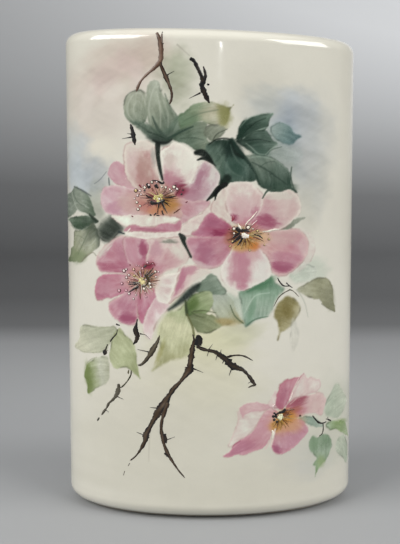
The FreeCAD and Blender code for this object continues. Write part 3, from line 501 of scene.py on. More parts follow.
# Each rose: its heart, its petals from the back forward, and the colours about its eye.
# A touch within a petal: centre, half-widths, colour, cover and turn in degrees.
# A colour about the eye: the same, and then its seed.
ROSES = {
    "rose_lower_left_petals": dict(heart=(-45.5, 159.5), first_seed=61, petals=[
        dict(tip=(184, 122, 138), root=(192, 140, 148), rim=(186, 122, 140), rim_width=1.6, outline=[
            (-81.3, 150), (-80.5, 156), (-78, 160.3), (-72, 162.7), (-62, 163), (-50, 162), (-50, 157),
            (-58, 151), (-64, 148.7), (-68, 147), (-72, 147), (-76, 145.3), (-79.8, 145.2),
        ], touches=[
            ((-73, 154), (6, 5), (190, 132, 146), 0.7, 0), ((-76, 148), (5, 1.8), (168, 92, 116), 0.6, 0),
        ]),
        dict(tip=(188, 130, 144), root=(190, 140, 150), rim=(204, 170, 172), rim_width=1.2, outline=[
            (-70.5, 141), (-69, 137), (-65, 133), (-60, 130.5), (-55, 129.5), (-51, 130.5), (-49, 135),
            (-48.5, 141), (-47, 149), (-48, 154), (-56, 153), (-61, 149), (-66, 146), (-69.5, 143.5),
        ], touches=[
            ((-56, 135), (6, 4), (158, 74, 104), 0.9, 10), ((-57, 143), (6, 4), (176, 106, 128), 0.6, 0),
        ]),
        dict(tip=(184, 112, 134), root=(190, 136, 146), rim=None, outline=[
            (-49, 141), (-48, 134), (-46, 131), (-44.5, 132), (-43.5, 136), (-41, 141), (-38, 145),
            (-36, 150), (-38, 155), (-46, 155), (-49, 148),
        ]),
        dict(tip=(188, 134, 146), root=(182, 120, 136), rim=(206, 188, 180), rim_width=1.4, outline=[
            (-79.7, 168), (-79.5, 174), (-74, 180), (-68, 184.5), (-62, 188), (-57, 187.8), (-54.5, 182),
            (-50, 174), (-48, 166), (-52, 163), (-60, 163.5), (-70, 163.5), (-76.5, 164),
        ], touches=[
            ((-74, 179), (8, 3), (208, 200, 188), 0.95, 42),
            ((-68, 167.5), (10, 3.4), (166, 84, 108), 0.8, 0),
            ((-60, 176), (3, 6), (178, 110, 130), 0.6, 30),
        ]),
        dict(tip=(192, 146, 154), root=(180, 112, 130), rim=(202, 172, 174), rim_width=1.2, outline=[
            (-58, 187.6), (-50, 187.6), (-42, 187.2), (-38, 184), (-39, 176), (-41, 170), (-45, 164),
            (-50, 166), (-55, 171), (-57.5, 177), (-58.5, 183),
        ], touches=[
            ((-45, 180), (3, 6), (156, 70, 100), 0.85, 5), ((-53, 178), (4, 7), (196, 144, 156), 0.7, 15),
        ]),
        dict(tip=(202, 172, 168), root=(186, 124, 138), rim=(212, 202, 190), rim_width=1.6, outline=[
            (-42, 187), (-32, 187.4), (-24, 188), (-20.5, 187.4), (-18, 183), (-16, 179), (-14.5, 176),
            (-17, 171.5), (-23, 168), (-30, 165.3), (-38, 162), (-42, 166), (-43, 174), (-41, 181),
        ], touches=[
            ((-21, 179), (6, 5), (214, 208, 194), 0.9, -35),
            ((-36, 180), (4, 6), (190, 142, 152), 0.7, 0),
            ((-26, 171), (7, 3), (200, 160, 162), 0.6, -20),
            ((-27, 185.3), (5, 1.5), (120, 124, 110), 0.8, 0),
        ]),
        dict(tip=(206, 186, 178), root=(188, 120, 138), rim=(214, 204, 192), rim_width=1.2, outline=[
            (-28, 145), (-24, 148), (-20, 151), (-16, 155), (-10, 160.5), (-4, 164), (-1, 166),
            (-7, 168.5), (-12, 170.5), (-18, 170), (-21, 167), (-22, 161), (-24.5, 154), (-27, 149),
        ], touches=[
            ((-20, 160), (2.6, 8), (180, 108, 130), 0.85, -22),
            ((-14, 167), (6, 2.6), (188, 126, 142), 0.7, 20),
            ((-8, 164), (6, 2), (212, 202, 190), 0.8, 35),
        ]),
        dict(tip=(212, 190, 188), root=(200, 156, 164), rim=(218, 206, 200), rim_width=1.2, outline=[
            (-44.8, 132), (-45.3, 127), (-43.3, 123), (-40.8, 120.5), (-39, 122), (-38, 128), (-35, 134),
            (-31, 139), (-27, 143.5), (-31, 147), (-36, 149), (-39, 145), (-42.5, 139),
        ]),
        dict(tip=(214, 204, 194), root=(204, 184, 178), rim=WHITE, rim_width=1.6, outline=[
            (-36.8, 157), (-36.8, 151), (-35, 146.5), (-31, 145), (-28, 145.5), (-26, 150), (-24, 156),
            (-22, 162), (-20.5, 166), (-24, 165), (-30, 164), (-34.5, 162),
        ]),
    ], eye=[
        ((-46, 160), (10, 9), (184, 136, 122), 0.85, 0, 71),
        ((-42, 164), (5, 5), (160, 124, 86), 0.7, 0, 72),
        ((-41, 169.5), (4.5, 2.6), (126, 40, 62), 0.85, 15, 73),
        ((-45.5, 160), (4.6, 4.8), (84, 70, 50), 0.85, 0, 74),
    ]),
    "rose_upper_left_petals": dict(heart=(-34, 213), first_seed=21, petals=[
        dict(tip=(198, 160, 166), root=(198, 166, 160), rim=(190, 146, 156), rim_width=0.9, outline=[
            (-70, 229), (-68.5, 233), (-66, 236), (-62, 236.5), (-58.5, 234.5), (-55, 232), (-50, 227),
            (-42, 219), (-38, 216), (-50, 218), (-60, 221), (-65, 223), (-68.5, 226),
        ]),
        dict(tip=(204, 182, 172), root=(178, 136, 130), rim=(216, 208, 196), rim_width=2.4, outline=[
            (-57, 246), (-54, 248.3), (-50, 249), (-44, 250), (-39.5, 248.5), (-36.5, 244), (-35.5, 237),
            (-34.5, 230), (-34, 222), (-36, 217), (-46, 218), (-53, 222), (-57, 229), (-57.5, 235),
            (-58, 241),
        ], touches=[
            ((-44, 232), (5, 9), (176, 134, 126), 0.8, 0),
            ((-52, 236), (3.5, 9), (204, 176, 172), 0.7, 0),
            ((-47, 247), (9, 3), (214, 206, 192), 0.9, 0),
            ((-37.5, 240), (1.6, 6), (164, 162, 154), 0.7, 0),
        ]),
        dict(tip=(220, 215, 202), root=(170, 104, 120), rim=(228, 224, 212), rim_width=1.8, outline=[
            (-33, 238), (-33, 241.5), (-31.5, 244.5), (-28, 246.3), (-25, 248.3), (-21.5, 247.9),
            (-18, 246.5), (-14, 244), (-11, 241), (-9.3, 237), (-9, 233), (-10, 228.5), (-12.5, 224),
            (-15, 221.5), (-22, 219), (-28, 218), (-31, 224), (-32.5, 231),
        ], touches=[
            ((-27, 238), (4, 6), (202, 184, 174), 0.8, 0),
            ((-17, 235), (6, 10), (222, 218, 204), 0.85, 10),
            ((-26, 225), (6, 4), (180, 122, 134), 0.7, 0), ((-20, 221), (5, 2.6), (128, 52, 76), 0.75, 0),
        ]),
        dict(tip=(186, 158, 162), root=(172, 108, 128), rim=(212, 205, 198), rim_width=1.8, outline=[
            (-12, 224), (-10.5, 229), (-8.5, 233.5), (-5, 236.5), (-1, 235.8), (2, 233.3), (4.5, 230),
            (5.3, 226), (4, 221.5), (1.5, 217.5), (-1, 213), (-4, 211), (-12, 209), (-22, 212),
            (-24, 216), (-18, 219.5),
        ], touches=[
            ((-7.5, 226), (2.6, 8), (166, 112, 130), 0.75, -22),
            ((1, 229), (2.6, 6), (206, 200, 192), 0.85, -10),
            ((-12, 216), (8, 4), (172, 122, 136), 0.6, 10),
        ]),
        dict(tip=(192, 150, 156), root=(188, 142, 144), rim=(200, 170, 170), rim_width=0.9, outline=[
            (-24, 214), (-14, 211.5), (-4, 212), (-1, 210.5), (-3, 207), (-8, 203.5), (-13, 200.5),
            (-19, 197), (-20.5, 200), (-24, 203), (-28, 208),
        ]),
        dict(tip=(198, 160, 168), root=(196, 162, 150), rim=(206, 180, 182), rim_width=1.4, outline=[
            (-76, 214), (-75.5, 210), (-74, 206.5), (-72, 203.8), (-68, 202.3), (-62, 201.3),
            (-54, 201.2), (-46, 201.5), (-36, 202), (-34, 208), (-36, 214), (-46, 217), (-53, 219.5),
            (-60, 220.8), (-67, 221), (-73, 219.3),
        ], touches=[
            ((-65, 206), (6, 4), (188, 136, 152), 0.8, 0), ((-55, 209), (8, 6), (198, 164, 156), 0.6, 0),
        ]),
        dict(tip=(196, 160, 152), root=(186, 140, 120), rim=None, outline=[
            (-36, 211), (-28, 210), (-22, 208), (-19, 203), (-22, 200.5), (-32, 201), (-40, 202),
            (-42, 207),
        ]),
        dict(tip=CREAM, root=(212, 202, 188), rim=(218, 210, 198), rim_width=1.2, soft=0.4, outline=[
            (-68, 201.5), (-60, 201.8), (-50, 202.3), (-40, 202.3), (-30, 202), (-22, 200.8),
            (-20.5, 199), (-26, 197.3), (-33, 196.8), (-36, 195), (-42, 194.8), (-50, 196), (-56, 194.5),
            (-61, 196.5),
        ]),
        dict(tip=(184, 126, 140), root=(180, 118, 134), rim=(192, 144, 152), rim_width=0.8, soft=0.4,
             outline=[
            (-58, 191.5), (-56.5, 193.5), (-52.5, 196), (-45, 194.7), (-36.5, 194.8), (-33, 196.8),
            (-24, 197.2), (-20.5, 199), (-19.3, 196), (-21, 192.8), (-26, 191.6), (-36, 191.2),
            (-47, 191.6),
        ], touches=[
            ((-40, 192.5), (10, 1.4), (162, 90, 110), 0.6, 0),
        ]),
        dict(tip=(216, 208, 196), root=(214, 206, 194), rim=WHITE, rim_width=0.9, soft=0.4, outline=[
            (-57, 190.5), (-48, 191.3), (-36, 190.8), (-25, 191.5), (-20, 192), (-19.5, 189.5),
            (-24, 188.4), (-32, 187.9), (-42, 187), (-50, 187.6), (-57, 189),
        ]),
    ], eye=[
        ((-35, 213), (14, 9), (184, 134, 118), 0.85, 0, 31),
        ((-28, 209), (7, 5.5), (168, 122, 68), 0.85, 0, 32),
        ((-36, 205), (6, 3), (184, 124, 84), 0.6, 0, 34),
        ((-44, 208), (5, 4), (170, 106, 98), 0.6, 0, 33),
        ((-19.5, 218), (4.5, 3.2), (118, 40, 58), 0.8, 30, 35),
    ]),
    "rose_right_petals": dict(heart=(22, 190), first_seed=41, petals=[
        dict(tip=(206, 196, 186), root=(204, 190, 182), rim=None, cover=0.6, soft=1.5, outline=[
            (58, 193), (66, 190.5), (70, 185), (70.5, 178), (67, 171), (61, 166), (55, 163), (50, 168),
            (56, 180),
        ]),
        dict(tip=(210, 196, 186), root=(206, 188, 180), rim=(216, 206, 196), rim_width=1.0, soft=0.4,
             outline=[
            (0.5, 209), (-6, 204), (-12, 200), (-18, 196), (-20.3, 193), (-19.5, 190), (-14, 189.3),
            (-10, 191.5), (-7, 196), (-4, 201), (0, 204.5), (2, 206.5),
        ]),
        dict(tip=(204, 184, 176), root=(176, 106, 124), rim=(218, 210, 198), rim_width=1.8, outline=[
            (33.5, 214.5), (36, 216.3), (40, 217), (45, 217.3), (51, 218.6), (55.5, 216.5), (58.8, 212),
            (60.2, 207), (58.5, 202.5), (55, 199.5), (51, 196), (46, 192.8), (40, 191.6), (33, 192),
            (27, 192), (25, 197), (29, 202), (31, 207), (32, 211),
        ], touches=[
            ((36, 198.5), (7, 3.6), (158, 76, 102), 0.85, -12),
            ((48, 207), (9, 7), (204, 178, 172), 0.6, 0),
            ((45, 214.5), (10, 2.4), (204, 198, 184), 0.8, 0),
        ]),
        dict(tip=(206, 186, 178), root=(186, 126, 140), rim=(218, 210, 200), rim_width=1.8, outline=[
            (9, 214), (9, 219), (11, 222.5), (15, 223.6), (20, 223.8), (25.5, 223), (28.5, 220),
            (31, 217.5), (33.5, 214.5), (32.5, 208), (30, 203), (26, 198), (22, 195), (18, 195.5),
            (13, 199), (10.5, 204), (9, 209),
        ], touches=[
            ((20, 209), (8, 8), (206, 176, 174), 0.7, 0),
            ((14.5, 201), (2.4, 2), (150, 68, 94), 0.8, -30),
            ((28, 203), (2.5, 5), (178, 112, 130), 0.7, -30),
        ]),
        dict(tip=(206, 194, 182), root=(200, 182, 172), rim=(214, 206, 194), rim_width=1.0, soft=0.4,
             outline=[
            (0.5, 204), (0, 208), (2.5, 212.5), (5, 216.5), (8, 221), (9.8, 216), (9, 210), (10, 204),
            (14, 197), (11, 198), (6, 200.5),
        ]),
        dict(tip=(196, 148, 154), root=(202, 160, 152), rim=(208, 184, 178), rim_width=2.0, outline=[
            (38, 191.5), (44, 192.5), (50, 192.5), (56, 193), (61, 191), (64.5, 187), (66, 182),
            (65.3, 177), (62.5, 172.5), (58, 168.5), (53, 165), (48, 162.8), (43, 162.8), (39.8, 165),
            (38, 170), (34, 176), (29, 182), (26, 186), (31, 190),
        ], touches=[
            ((47, 168), (8, 4), (160, 78, 106), 0.9, -10),
            ((50, 173), (11, 5), (180, 112, 132), 0.6, -10),
            ((50, 187), (11, 5), (200, 164, 160), 0.6, 0), ((62, 181), (3, 6), (204, 176, 174), 0.6, 0),
        ]),
        dict(tip=(184, 128, 142), root=(172, 100, 118), rim=(202, 172, 172), rim_width=1.4, outline=[
            (-16.5, 186.5), (-15.5, 182), (-13.5, 177), (-11, 172), (-6, 168.5), (0, 168), (5, 169.7),
            (8.5, 173), (12, 178.5), (15, 184), (19, 188), (12, 189.5), (4, 189.3), (-4, 188.7),
            (-11, 189),
        ], touches=[
            ((-5, 178), (6, 7), (164, 94, 118), 0.7, 20), ((5, 182), (5, 5), (196, 148, 154), 0.5, 0),
            ((-8, 171), (7, 1.6), (204, 184, 180), 0.7, -20),
        ]),
        dict(tip=(172, 104, 126), root=(152, 68, 94), rim=(188, 136, 148), rim_width=1.0, outline=[
            (-13, 190), (-9, 193.5), (-6, 198.5), (-3, 202.5), (0, 204), (5, 201), (10, 197.5), (15, 193),
            (20, 190), (12, 188.5), (4, 188.3), (-5, 188.4),
        ], touches=[
            ((5, 190.5), (5, 2), (140, 50, 80), 0.85, -8), ((1, 197), (4, 3), (158, 84, 110), 0.6, 0),
        ]),
        dict(tip=(210, 198, 190), root=(192, 134, 144), rim=(222, 218, 208), rim_width=2.0, outline=[
            (13.5, 180), (10, 175), (7, 171), (5.8, 166.5), (6.5, 161), (11, 156.3), (18, 153.4),
            (24.5, 154.7), (30, 157.3), (35.5, 160), (38.6, 163.5), (38.8, 169), (37.3, 173.5),
            (33.5, 178.5), (29, 183), (22, 186), (16, 184),
        ], touches=[
            ((19, 168), (6.5, 13), (186, 122, 138), 0.85, 0),
            ((32, 166), (5, 8), (216, 214, 204), 0.85, 0), ((27, 177), (4, 4), (200, 164, 162), 0.6, 0),
            ((20, 158), (3, 4), (186, 118, 136), 0.7, 0),
        ]),
    ], eye=[
        ((22, 188), (11, 8), (178, 132, 96), 0.85, 0, 51),
        ((31, 188), (7, 4.5), (206, 172, 134), 0.85, 0, 54),
        ((27, 182.5), (4, 3), (188, 116, 54), 0.85, 0, 52),
        ((19, 182), (7, 3.4), (186, 146, 82), 0.7, 0, 55),
        ((11, 188), (3, 4), (156, 100, 84), 0.7, 0, 53),
        ((17, 189), (4, 4.6), (60, 38, 26), 0.85, 0, 56),
    ]),
    "rose_lower_right_petals": dict(heart=(47, 68), first_seed=81, petals=[
        dict(tip=(210, 200, 190), root=(206, 190, 182), rim=(202, 176, 172), rim_width=0.8, cover=0.8,
             outline=[
            (18, 74), (17, 66), (14, 58), (11, 50.5), (14, 50), (18, 53), (24, 57), (29, 62), (33, 68),
            (38, 73), (30, 73.5),
        ]),
        dict(tip=(206, 176, 174), root=(200, 164, 166), rim=(196, 154, 160), rim_width=0.8, soft=0.5,
             outline=[
            (18, 75), (19, 72), (20.5, 68.5), (22, 71), (27, 73), (33, 73), (39, 74), (44, 74), (40, 77),
            (34, 77.5), (29, 79), (22, 77.8),
        ]),
        dict(tip=(210, 188, 182), root=(196, 154, 158), rim=None, cover=0.8, outline=[
            (38, 76), (40, 82), (43, 86), (44.5, 80), (45, 75),
        ]),
        dict(tip=(208, 186, 180), root=(204, 178, 172), rim=(200, 168, 168), rim_width=1.0, cover=0.85,
             outline=[
            (52, 77), (56, 85), (60, 91.5), (63, 96), (66, 92.5), (68.5, 93), (72, 91.5), (76, 90.5),
            (77, 86), (74, 82.5), (68, 81.5), (60, 79),
        ], touches=[
            ((60, 87), (3, 6), (212, 204, 194), 0.8, -30),
        ]),
        dict(tip=(208, 176, 172), root=(176, 96, 112), rim=(206, 180, 176), rim_width=1.2, cover=0.93,
             outline=[
            (50, 74), (54, 78.5), (59, 80.2), (65, 81), (70, 81), (75.5, 82), (80, 78.5), (82, 75),
            (80, 70), (77.5, 65.5), (72, 67.8), (65, 68), (59, 66.5), (53, 69),
        ], touches=[
            ((59, 78), (8, 3.4), (156, 74, 90), 0.85, 14), ((72, 73), (7, 6), (208, 178, 172), 0.7, 0),
        ]),
        dict(tip=(190, 128, 140), root=(170, 94, 114), rim=(170, 100, 118), rim_width=0.7, outline=[
            (43, 76), (43.3, 82), (45, 86.5), (45.3, 89.5), (47.5, 91.5), (50, 92.8), (55, 93.4),
            (60, 94.5), (63.5, 96.3), (59.5, 92), (56.5, 88), (54, 83), (51.5, 78), (47, 73),
        ], touches=[
            ((48, 82), (3, 6), (172, 100, 120), 0.7, -15),
        ]),
        dict(tip=(188, 126, 142), root=(198, 148, 152), rim=(196, 146, 156), rim_width=1.0, outline=[
            (7.8, 43.5), (12, 46.3), (14, 50), (18, 53.2), (24, 57), (28, 60.5), (31, 66), (35, 72),
            (39, 74), (44, 72), (44, 66), (41, 60), (39.5, 55), (37, 50.5), (33.5, 47.5), (28, 45.7),
            (22, 43.8), (16, 44), (11, 42.5),
        ], touches=[
            ((20, 49), (10, 3.4), (176, 106, 128), 0.7, 22),
            ((34, 60), (5, 8), (196, 142, 152), 0.6, -30),
        ]),
        dict(tip=(190, 136, 150), root=(196, 146, 136), rim=(194, 148, 156), rim_width=1.0, outline=[
            (43, 62), (41, 55), (39.7, 48), (42, 44), (46, 42), (50, 43), (56, 46.3), (61, 50),
            (65.5, 53.5), (67, 56.5), (65.5, 60), (62, 64), (57, 66), (50, 66),
        ], touches=[
            ((43.5, 46), (4, 2.8), (162, 84, 112), 0.85, -30),
            ((55, 52), (8, 5), (188, 132, 148), 0.6, 10),
        ]),
    ], eye=[
        ((51, 64), (12, 7), (196, 146, 104), 0.75, 0, 90),
        ((51, 68), (6.5, 4.6), (190, 130, 50), 0.95, 0, 89),
        ((43, 62), (4.5, 4), (178, 130, 64), 0.8, 0, 91),
        ((57, 72), (5, 2), (150, 84, 60), 0.5, 10, 92),
    ]),
}


def paint_roses(canvas):
    """Each rose: its petals from the back forward, then the colours about its eye."""
    for motif, rose in ROSES.items():
        canvas.begin(motif)
        for number, shape in enumerate(rose["petals"]):
            petal(canvas, heart=rose["heart"], seed=rose["first_seed"] + number, **shape)
        for centre, size, colour, cover, turn, seed in rose["eye"]:
            dab(canvas, centre, size, colour, cover, turn, seed)


# Each line: points (s, z, width), colour, cover and softness
LINES = [
    ([(-38, 250, 1), (-34, 248.5, 2.2), (-29, 248.5, 1.8), (-25.5, 250.5, 0.8)], DARK_GREEN, 0.85, 0.7),
    ([(-34.8, 247, 3.6), (-34.7, 240, 2.8), (-33.4, 232, 2.4), (-31.8, 225, 1.4)], DARK_GREEN, 0.9, 0.5),
    ([(-10, 242, 3), (-6, 242, 4.5), (-2, 239, 3), (0.5, 236, 1.5)], DARK_GREEN, 0.92, 0.6),
    ([(-9, 237.5, 1), (-5.5, 238.5, 2), (-1, 236.5, 1.6), (2.5, 234, 0.8)], DARK_GREEN, 0.9, 0.4),
    ([(9, 222, 3), (4.5, 219.5, 3.4), (1, 215.5, 2.8), (-3, 211.8, 1)], DEEPEST_GREEN, 0.95, 0.4),
    ([(5, 219, 2), (3, 216, 1.6), (2, 212, 0.8)], DEEPEST_GREEN, 0.9, 0.3),
    ([(10, 226, 5), (7, 223, 4)], (24, 34, 28), 0.85, 1.2),
    ([(-20.5, 190, 2), (-18.6, 187.8, 4), (-18, 185, 2.6), (-15.6, 180, 1.6), (-13.4, 175.5, 1.6)],
     (34, 42, 36), 0.95, 0.4),
    ([(-28, 140.8, 1.2), (-21, 146, 3.2), (-15, 151.5, 4.6), (-10, 156, 3.8), (-8, 158, 1.6)],
     (30, 40, 34), 0.95, 1.5),
    ([(-17, 147, 1.5), (-16.5, 142, 2), (-16, 138, 2.2)], (54, 64, 40), 0.85, 0.4),
    ([(-16, 138, 1.4), (-12.5, 130, 1.4), (-11.5, 124, 1.4)], (84, 88, 50), 0.8, 0.4),
    ([(13, 250, 1.6), (9, 251, 1), (3, 250.5, 0.8), (-2, 247, 0.6)], DARK_GREEN, 0.85, 0.4),
    ([(13, 250, 3), (17, 243, 3.4), (22, 238, 2.6), (27, 231, 1.4), (31, 222, 1.2)],
     (34, 50, 42), 0.8, 0.7),
    ([(12, 249, 2), (14, 243, 2.4), (20, 239, 2)], (26, 38, 32), 0.8, 0.6),
    ([(53, 233, 0.9), (52.5, 226, 1.1), (55.5, 217, 1)], (66, 80, 70), 0.8, 0.4),
    ([(18, 258, 0.5), (24, 264, 0.8), (32, 266.5, 0.7), (40, 267, 0.4)], PALE_EDGE, 0.5, 0.5),
    ([(20, 251, 0.6), (28, 255.5, 0.9), (37, 258.5, 0.6)], PALE_EDGE, 0.65, 0.4),
    ([(22, 248, 0.5), (26, 245, 0.9), (30, 241.5, 0.8), (35, 241, 0.5)], PALE_EDGE, 0.55, 0.4),
    ([(35, 241, 0.5), (39, 244.5, 0.9), (43, 247.5, 0.5)], PALE_EDGE, 0.6, 0.4),
    ([(24, 239, 0.6), (33, 239.5, 0.9), (43, 236.5, 0.9), (51.5, 230, 0.5)], PALE_EDGE, 0.5, 0.5),
    ([(26, 236, 0.6), (36, 231, 1), (50, 221.5, 0.5)], (44, 58, 50), 0.7, 0.5),
    ([(31, 233, 0.4), (36, 236, 0.5), (41, 236.5, 0.4)], (52, 68, 58), 0.6, 0.4),
    ([(37, 230, 0.4), (39, 225, 0.5), (38, 219, 0.4)], (40, 54, 46), 0.6, 0.4),
    ([(3, 246, 0.6), (7, 238, 1), (13, 230, 1), (20, 226.5, 0.5)], (92, 110, 98), 0.6, 0.6),
    ([(12, 247, 0.6), (15, 239, 1.2), (23, 231, 0.8)], (86, 104, 94), 0.6, 0.6),
    ([(0, 243, 0.6), (2, 236, 1), (6, 228, 0.6)], (96, 112, 100), 0.5, 0.6),
    ([(22, 256, 0.5), (28, 261, 0.6), (35, 264, 0.4)], (22, 34, 28), 0.6, 0.4),
    ([(22, 249.5, 0.5), (30, 250.5, 0.6), (38, 249, 0.4)], (26, 38, 32), 0.6, 0.4),
    ([(-51, 262, 0.5), (-55.5, 269, 0.9), (-52, 278, 1), (-46, 279.5, 0.8), (-43, 273, 0.6)],
     WHORL, 0.4, 0.5),
    ([(-49, 264, 0.5), (-51, 270, 0.8), (-48, 275, 0.7), (-45, 271, 0.5)], WHORL, 0.35, 0.5),
    ([(-39, 260, 0.5), (-40.5, 271, 1), (-37, 283, 0.8), (-34, 284, 0.5)], WHORL, 0.5, 0.5),
    ([(-33, 258, 0.6), (-33, 269, 1.1), (-35, 280, 0.7)], WHORL, 0.4, 0.6),
    ([(-28, 258, 0.5), (-28, 266, 0.9), (-31, 275, 0.6)], WHORL, 0.35, 0.5),
    ([(-50, 261.5, 0.6), (-43, 257, 0.9), (-34, 252, 0.6)], (58, 70, 60), 0.6, 0.5),
    ([(-44, 263, 0.5), (-39, 258, 0.8), (-33, 252, 0.6)], (64, 78, 66), 0.55, 0.5),
    ([(-18, 262, 0.5), (-8, 266.5, 0.8), (4, 269, 0.5)], (84, 100, 80), 0.5, 0.5),
    ([(-20, 251, 0.5), (-12, 251.5, 0.8), (-5, 250, 0.5)], (58, 72, 60), 0.55, 0.5),
    ([(-108, 205, 0.5), (-98, 209, 0.8), (-86, 206, 0.6)], (170, 178, 164), 0.6, 0.4),
    ([(-104, 217, 0.5), (-98, 210, 0.7), (-90, 207, 0.5)], (60, 72, 62), 0.6, 0.4),
    ([(-84, 195, 0.5), (-90, 185, 0.8), (-98, 174, 0.5)], (92, 104, 80), 0.6, 0.4),
    ([(-90, 185, 0.4), (-96, 187, 0.5), (-101, 187, 0.4)], (98, 108, 86), 0.5, 0.4),
    ([(-88, 181, 0.4), (-84, 182, 0.5), (-80, 186, 0.4)], (186, 190, 174), 0.6, 0.4),
    ([(39, 218.5, 1.4), (45, 218, 2), (51, 220, 1.2)], (58, 76, 64), 0.8, 0.5),
    ([(33, 213, 0.8), (35.5, 217, 1.2), (38.5, 219.5, 1.6)], (60, 74, 64), 0.9, 0.3),
    ([(-29, 250.5, 2), (-18, 256, 1.2), (-12, 258.5, 0.8)], (50, 66, 56), 0.85, 0.4),
    ([(-28, 250, 1.8), (-34, 253, 1.1), (-42, 255.5, 0.7)], (46, 60, 50), 0.8, 0.4),
    ([(-29, 251, 1.6), (-34.5, 257, 2), (-38.3, 265, 0.7)], (60, 74, 64), 0.75, 0.4),
    ([(-30, 279, 0.8), (-27, 272, 1), (-22, 265, 0.9)], (92, 104, 90), 0.7, 0.4),
    ([(22, 252, 1.2), (28, 255.5, 0.8), (34, 256, 0.6)], (44, 60, 50), 0.8, 0.4),
    ([(36, 258, 0.6), (40, 252.5, 0.6), (44, 248.5, 0.5)], (150, 164, 152), 0.6, 0.3),
    ([(0, 248, 0.5), (3, 253.5, 0.5), (10, 257, 0.5)], (60, 66, 56), 0.8, 0.3),
    ([(36, 240.5, 0.9), (39, 244, 0.8), (46, 246, 0.6)], (84, 100, 90), 0.7, 0.3),
    ([(-102, 220, 0.9), (-92, 217.5, 1.2), (-84, 214, 0.8)], (74, 82, 78), 0.75, 0.4),
    ([(-106, 217, 0.7), (-98, 205, 0.8), (-82, 199.5, 0.8)], (186, 192, 180), 0.6, 0.4),
    ([(-86, 202, 1), (-81, 198.5, 2.6), (-78, 197.5, 1)], (44, 54, 44), 0.9, 0.4),
    ([(-94, 169.5, 0.7), (-88, 174, 0.9), (-83, 176.5, 0.7), (-80, 174.5, 0.6)],
     (120, 118, 98), 0.7, 0.3),
    ([(-81, 222, 0.5), (-76, 225, 0.6), (-71, 230, 0.5)], (110, 116, 118), 0.7, 0.3),
    ([(-69.3, 226, 0.7), (-68.8, 221.5, 1)], (70, 78, 80), 0.8, 0.3),
    ([(-62, 191, 1.6), (-58, 189.8, 1)], (40, 50, 50), 0.85, 0.3),
    ([(-56.5, 190.3, 0.6), (-54, 193.3, 0.8)], WHITE, 0.9, 0.2),
    ([(23, 152.5, 1), (30, 156, 1.4), (37, 158.5, 1.2)], (74, 110, 84), 0.6, 0.5),
    ([(21, 138, 0.6), (28, 149.5, 0.8), (38, 151.5, 0.7)], (176, 196, 178), 0.6, 0.4),
    ([(23, 131, 0.8), (29, 134.5, 0.9), (37, 136, 0.6)], (82, 112, 90), 0.75, 0.3),
    ([(12, 144, 0.6), (15, 137, 0.9), (20.5, 132, 0.9)], (74, 88, 60), 0.8, 0.3),
    ([(-12, 140, 0.8), (-5, 140.6, 0.7), (2.5, 139, 0.5)], (70, 78, 50), 0.8, 0.3),
    ([(-13, 139.5, 0.8), (-9, 137, 0.6), (-4, 136.5, 0.4)], (70, 78, 50), 0.7, 0.3),
    ([(57, 153, 0.8), (61, 148, 0.9), (64, 142, 0.7), (66, 134, 0.5)], (176, 178, 164), 0.8, 0.3),
    ([(77, 142, 0.6), (83, 138.5, 0.8), (89.5, 135.6, 0.7)], (104, 104, 82), 0.7, 0.3),
    ([(-98, 109, 0.5), (-92, 108, 0.7), (-80, 109.2, 0.5)], (150, 152, 126), 0.6, 0.3),
    ([(-90, 127.3, 0.4), (-78, 126.6, 0.6), (-66, 128, 0.5)], (158, 160, 134), 0.7, 0.3),
    ([(-91, 99, 0.5), (-86, 103.5, 0.7), (-80, 106, 0.4)], (150, 154, 126), 0.7, 0.3),
    ([(-41, 60, 0.7), (-41.5, 50, 0.8), (-42, 38, 0.4)], (176, 170, 156), 0.6, 0.4),
    ([(-22, 309.5, 0.8), (-18, 306, 0.5), (-14, 302.5, 0.4)], (150, 144, 132), 0.6, 0.3),
    ([(39.5, 48, 0.8), (41, 54, 1.6), (42.5, 60, 1)], (216, 200, 190), 0.95, 0.3),
    ([(36, 47, 0.8), (38, 50.5, 0.9), (39.5, 55, 0.5)], (208, 184, 178), 0.85, 0.3),
    ([(60, 94.3, 0.6), (56, 87.5, 0.8), (52.3, 79, 0.8)], (214, 196, 188), 0.85, 0.3),
    ([(53, 76, 0.8), (57.5, 79.3, 0.7)], (206, 178, 172), 0.6, 0.3),
    ([(13.5, 49, 0.6), (15, 51, 0.9), (19, 53.5, 0.6)], (150, 84, 104), 0.7, 0.3),
    ([(36, 73.5, 0.5), (31, 66, 0.6), (28.5, 61, 0.4)], (196, 176, 164), 0.5, 0.3),
]


def paint_lines(canvas):
    """Soft darks between the petals and the thin pale and dark lines drawn over them."""
    for number, (points, colour, cover, soft) in enumerate(LINES):
        wipe(canvas, points, colour, cover, soft, seed=number + 5)


def paint_face(canvas):
    """The whole picture, from the washes up."""
    paint_washes_and_shade(canvas)
    paint_leaves(canvas)
    paint_roses(canvas)
    paint_lines(canvas)


# ---------------------------------------------------------------- painting: line work

BROWN = (112, 88, 74)
BLACK = (34, 27, 22)

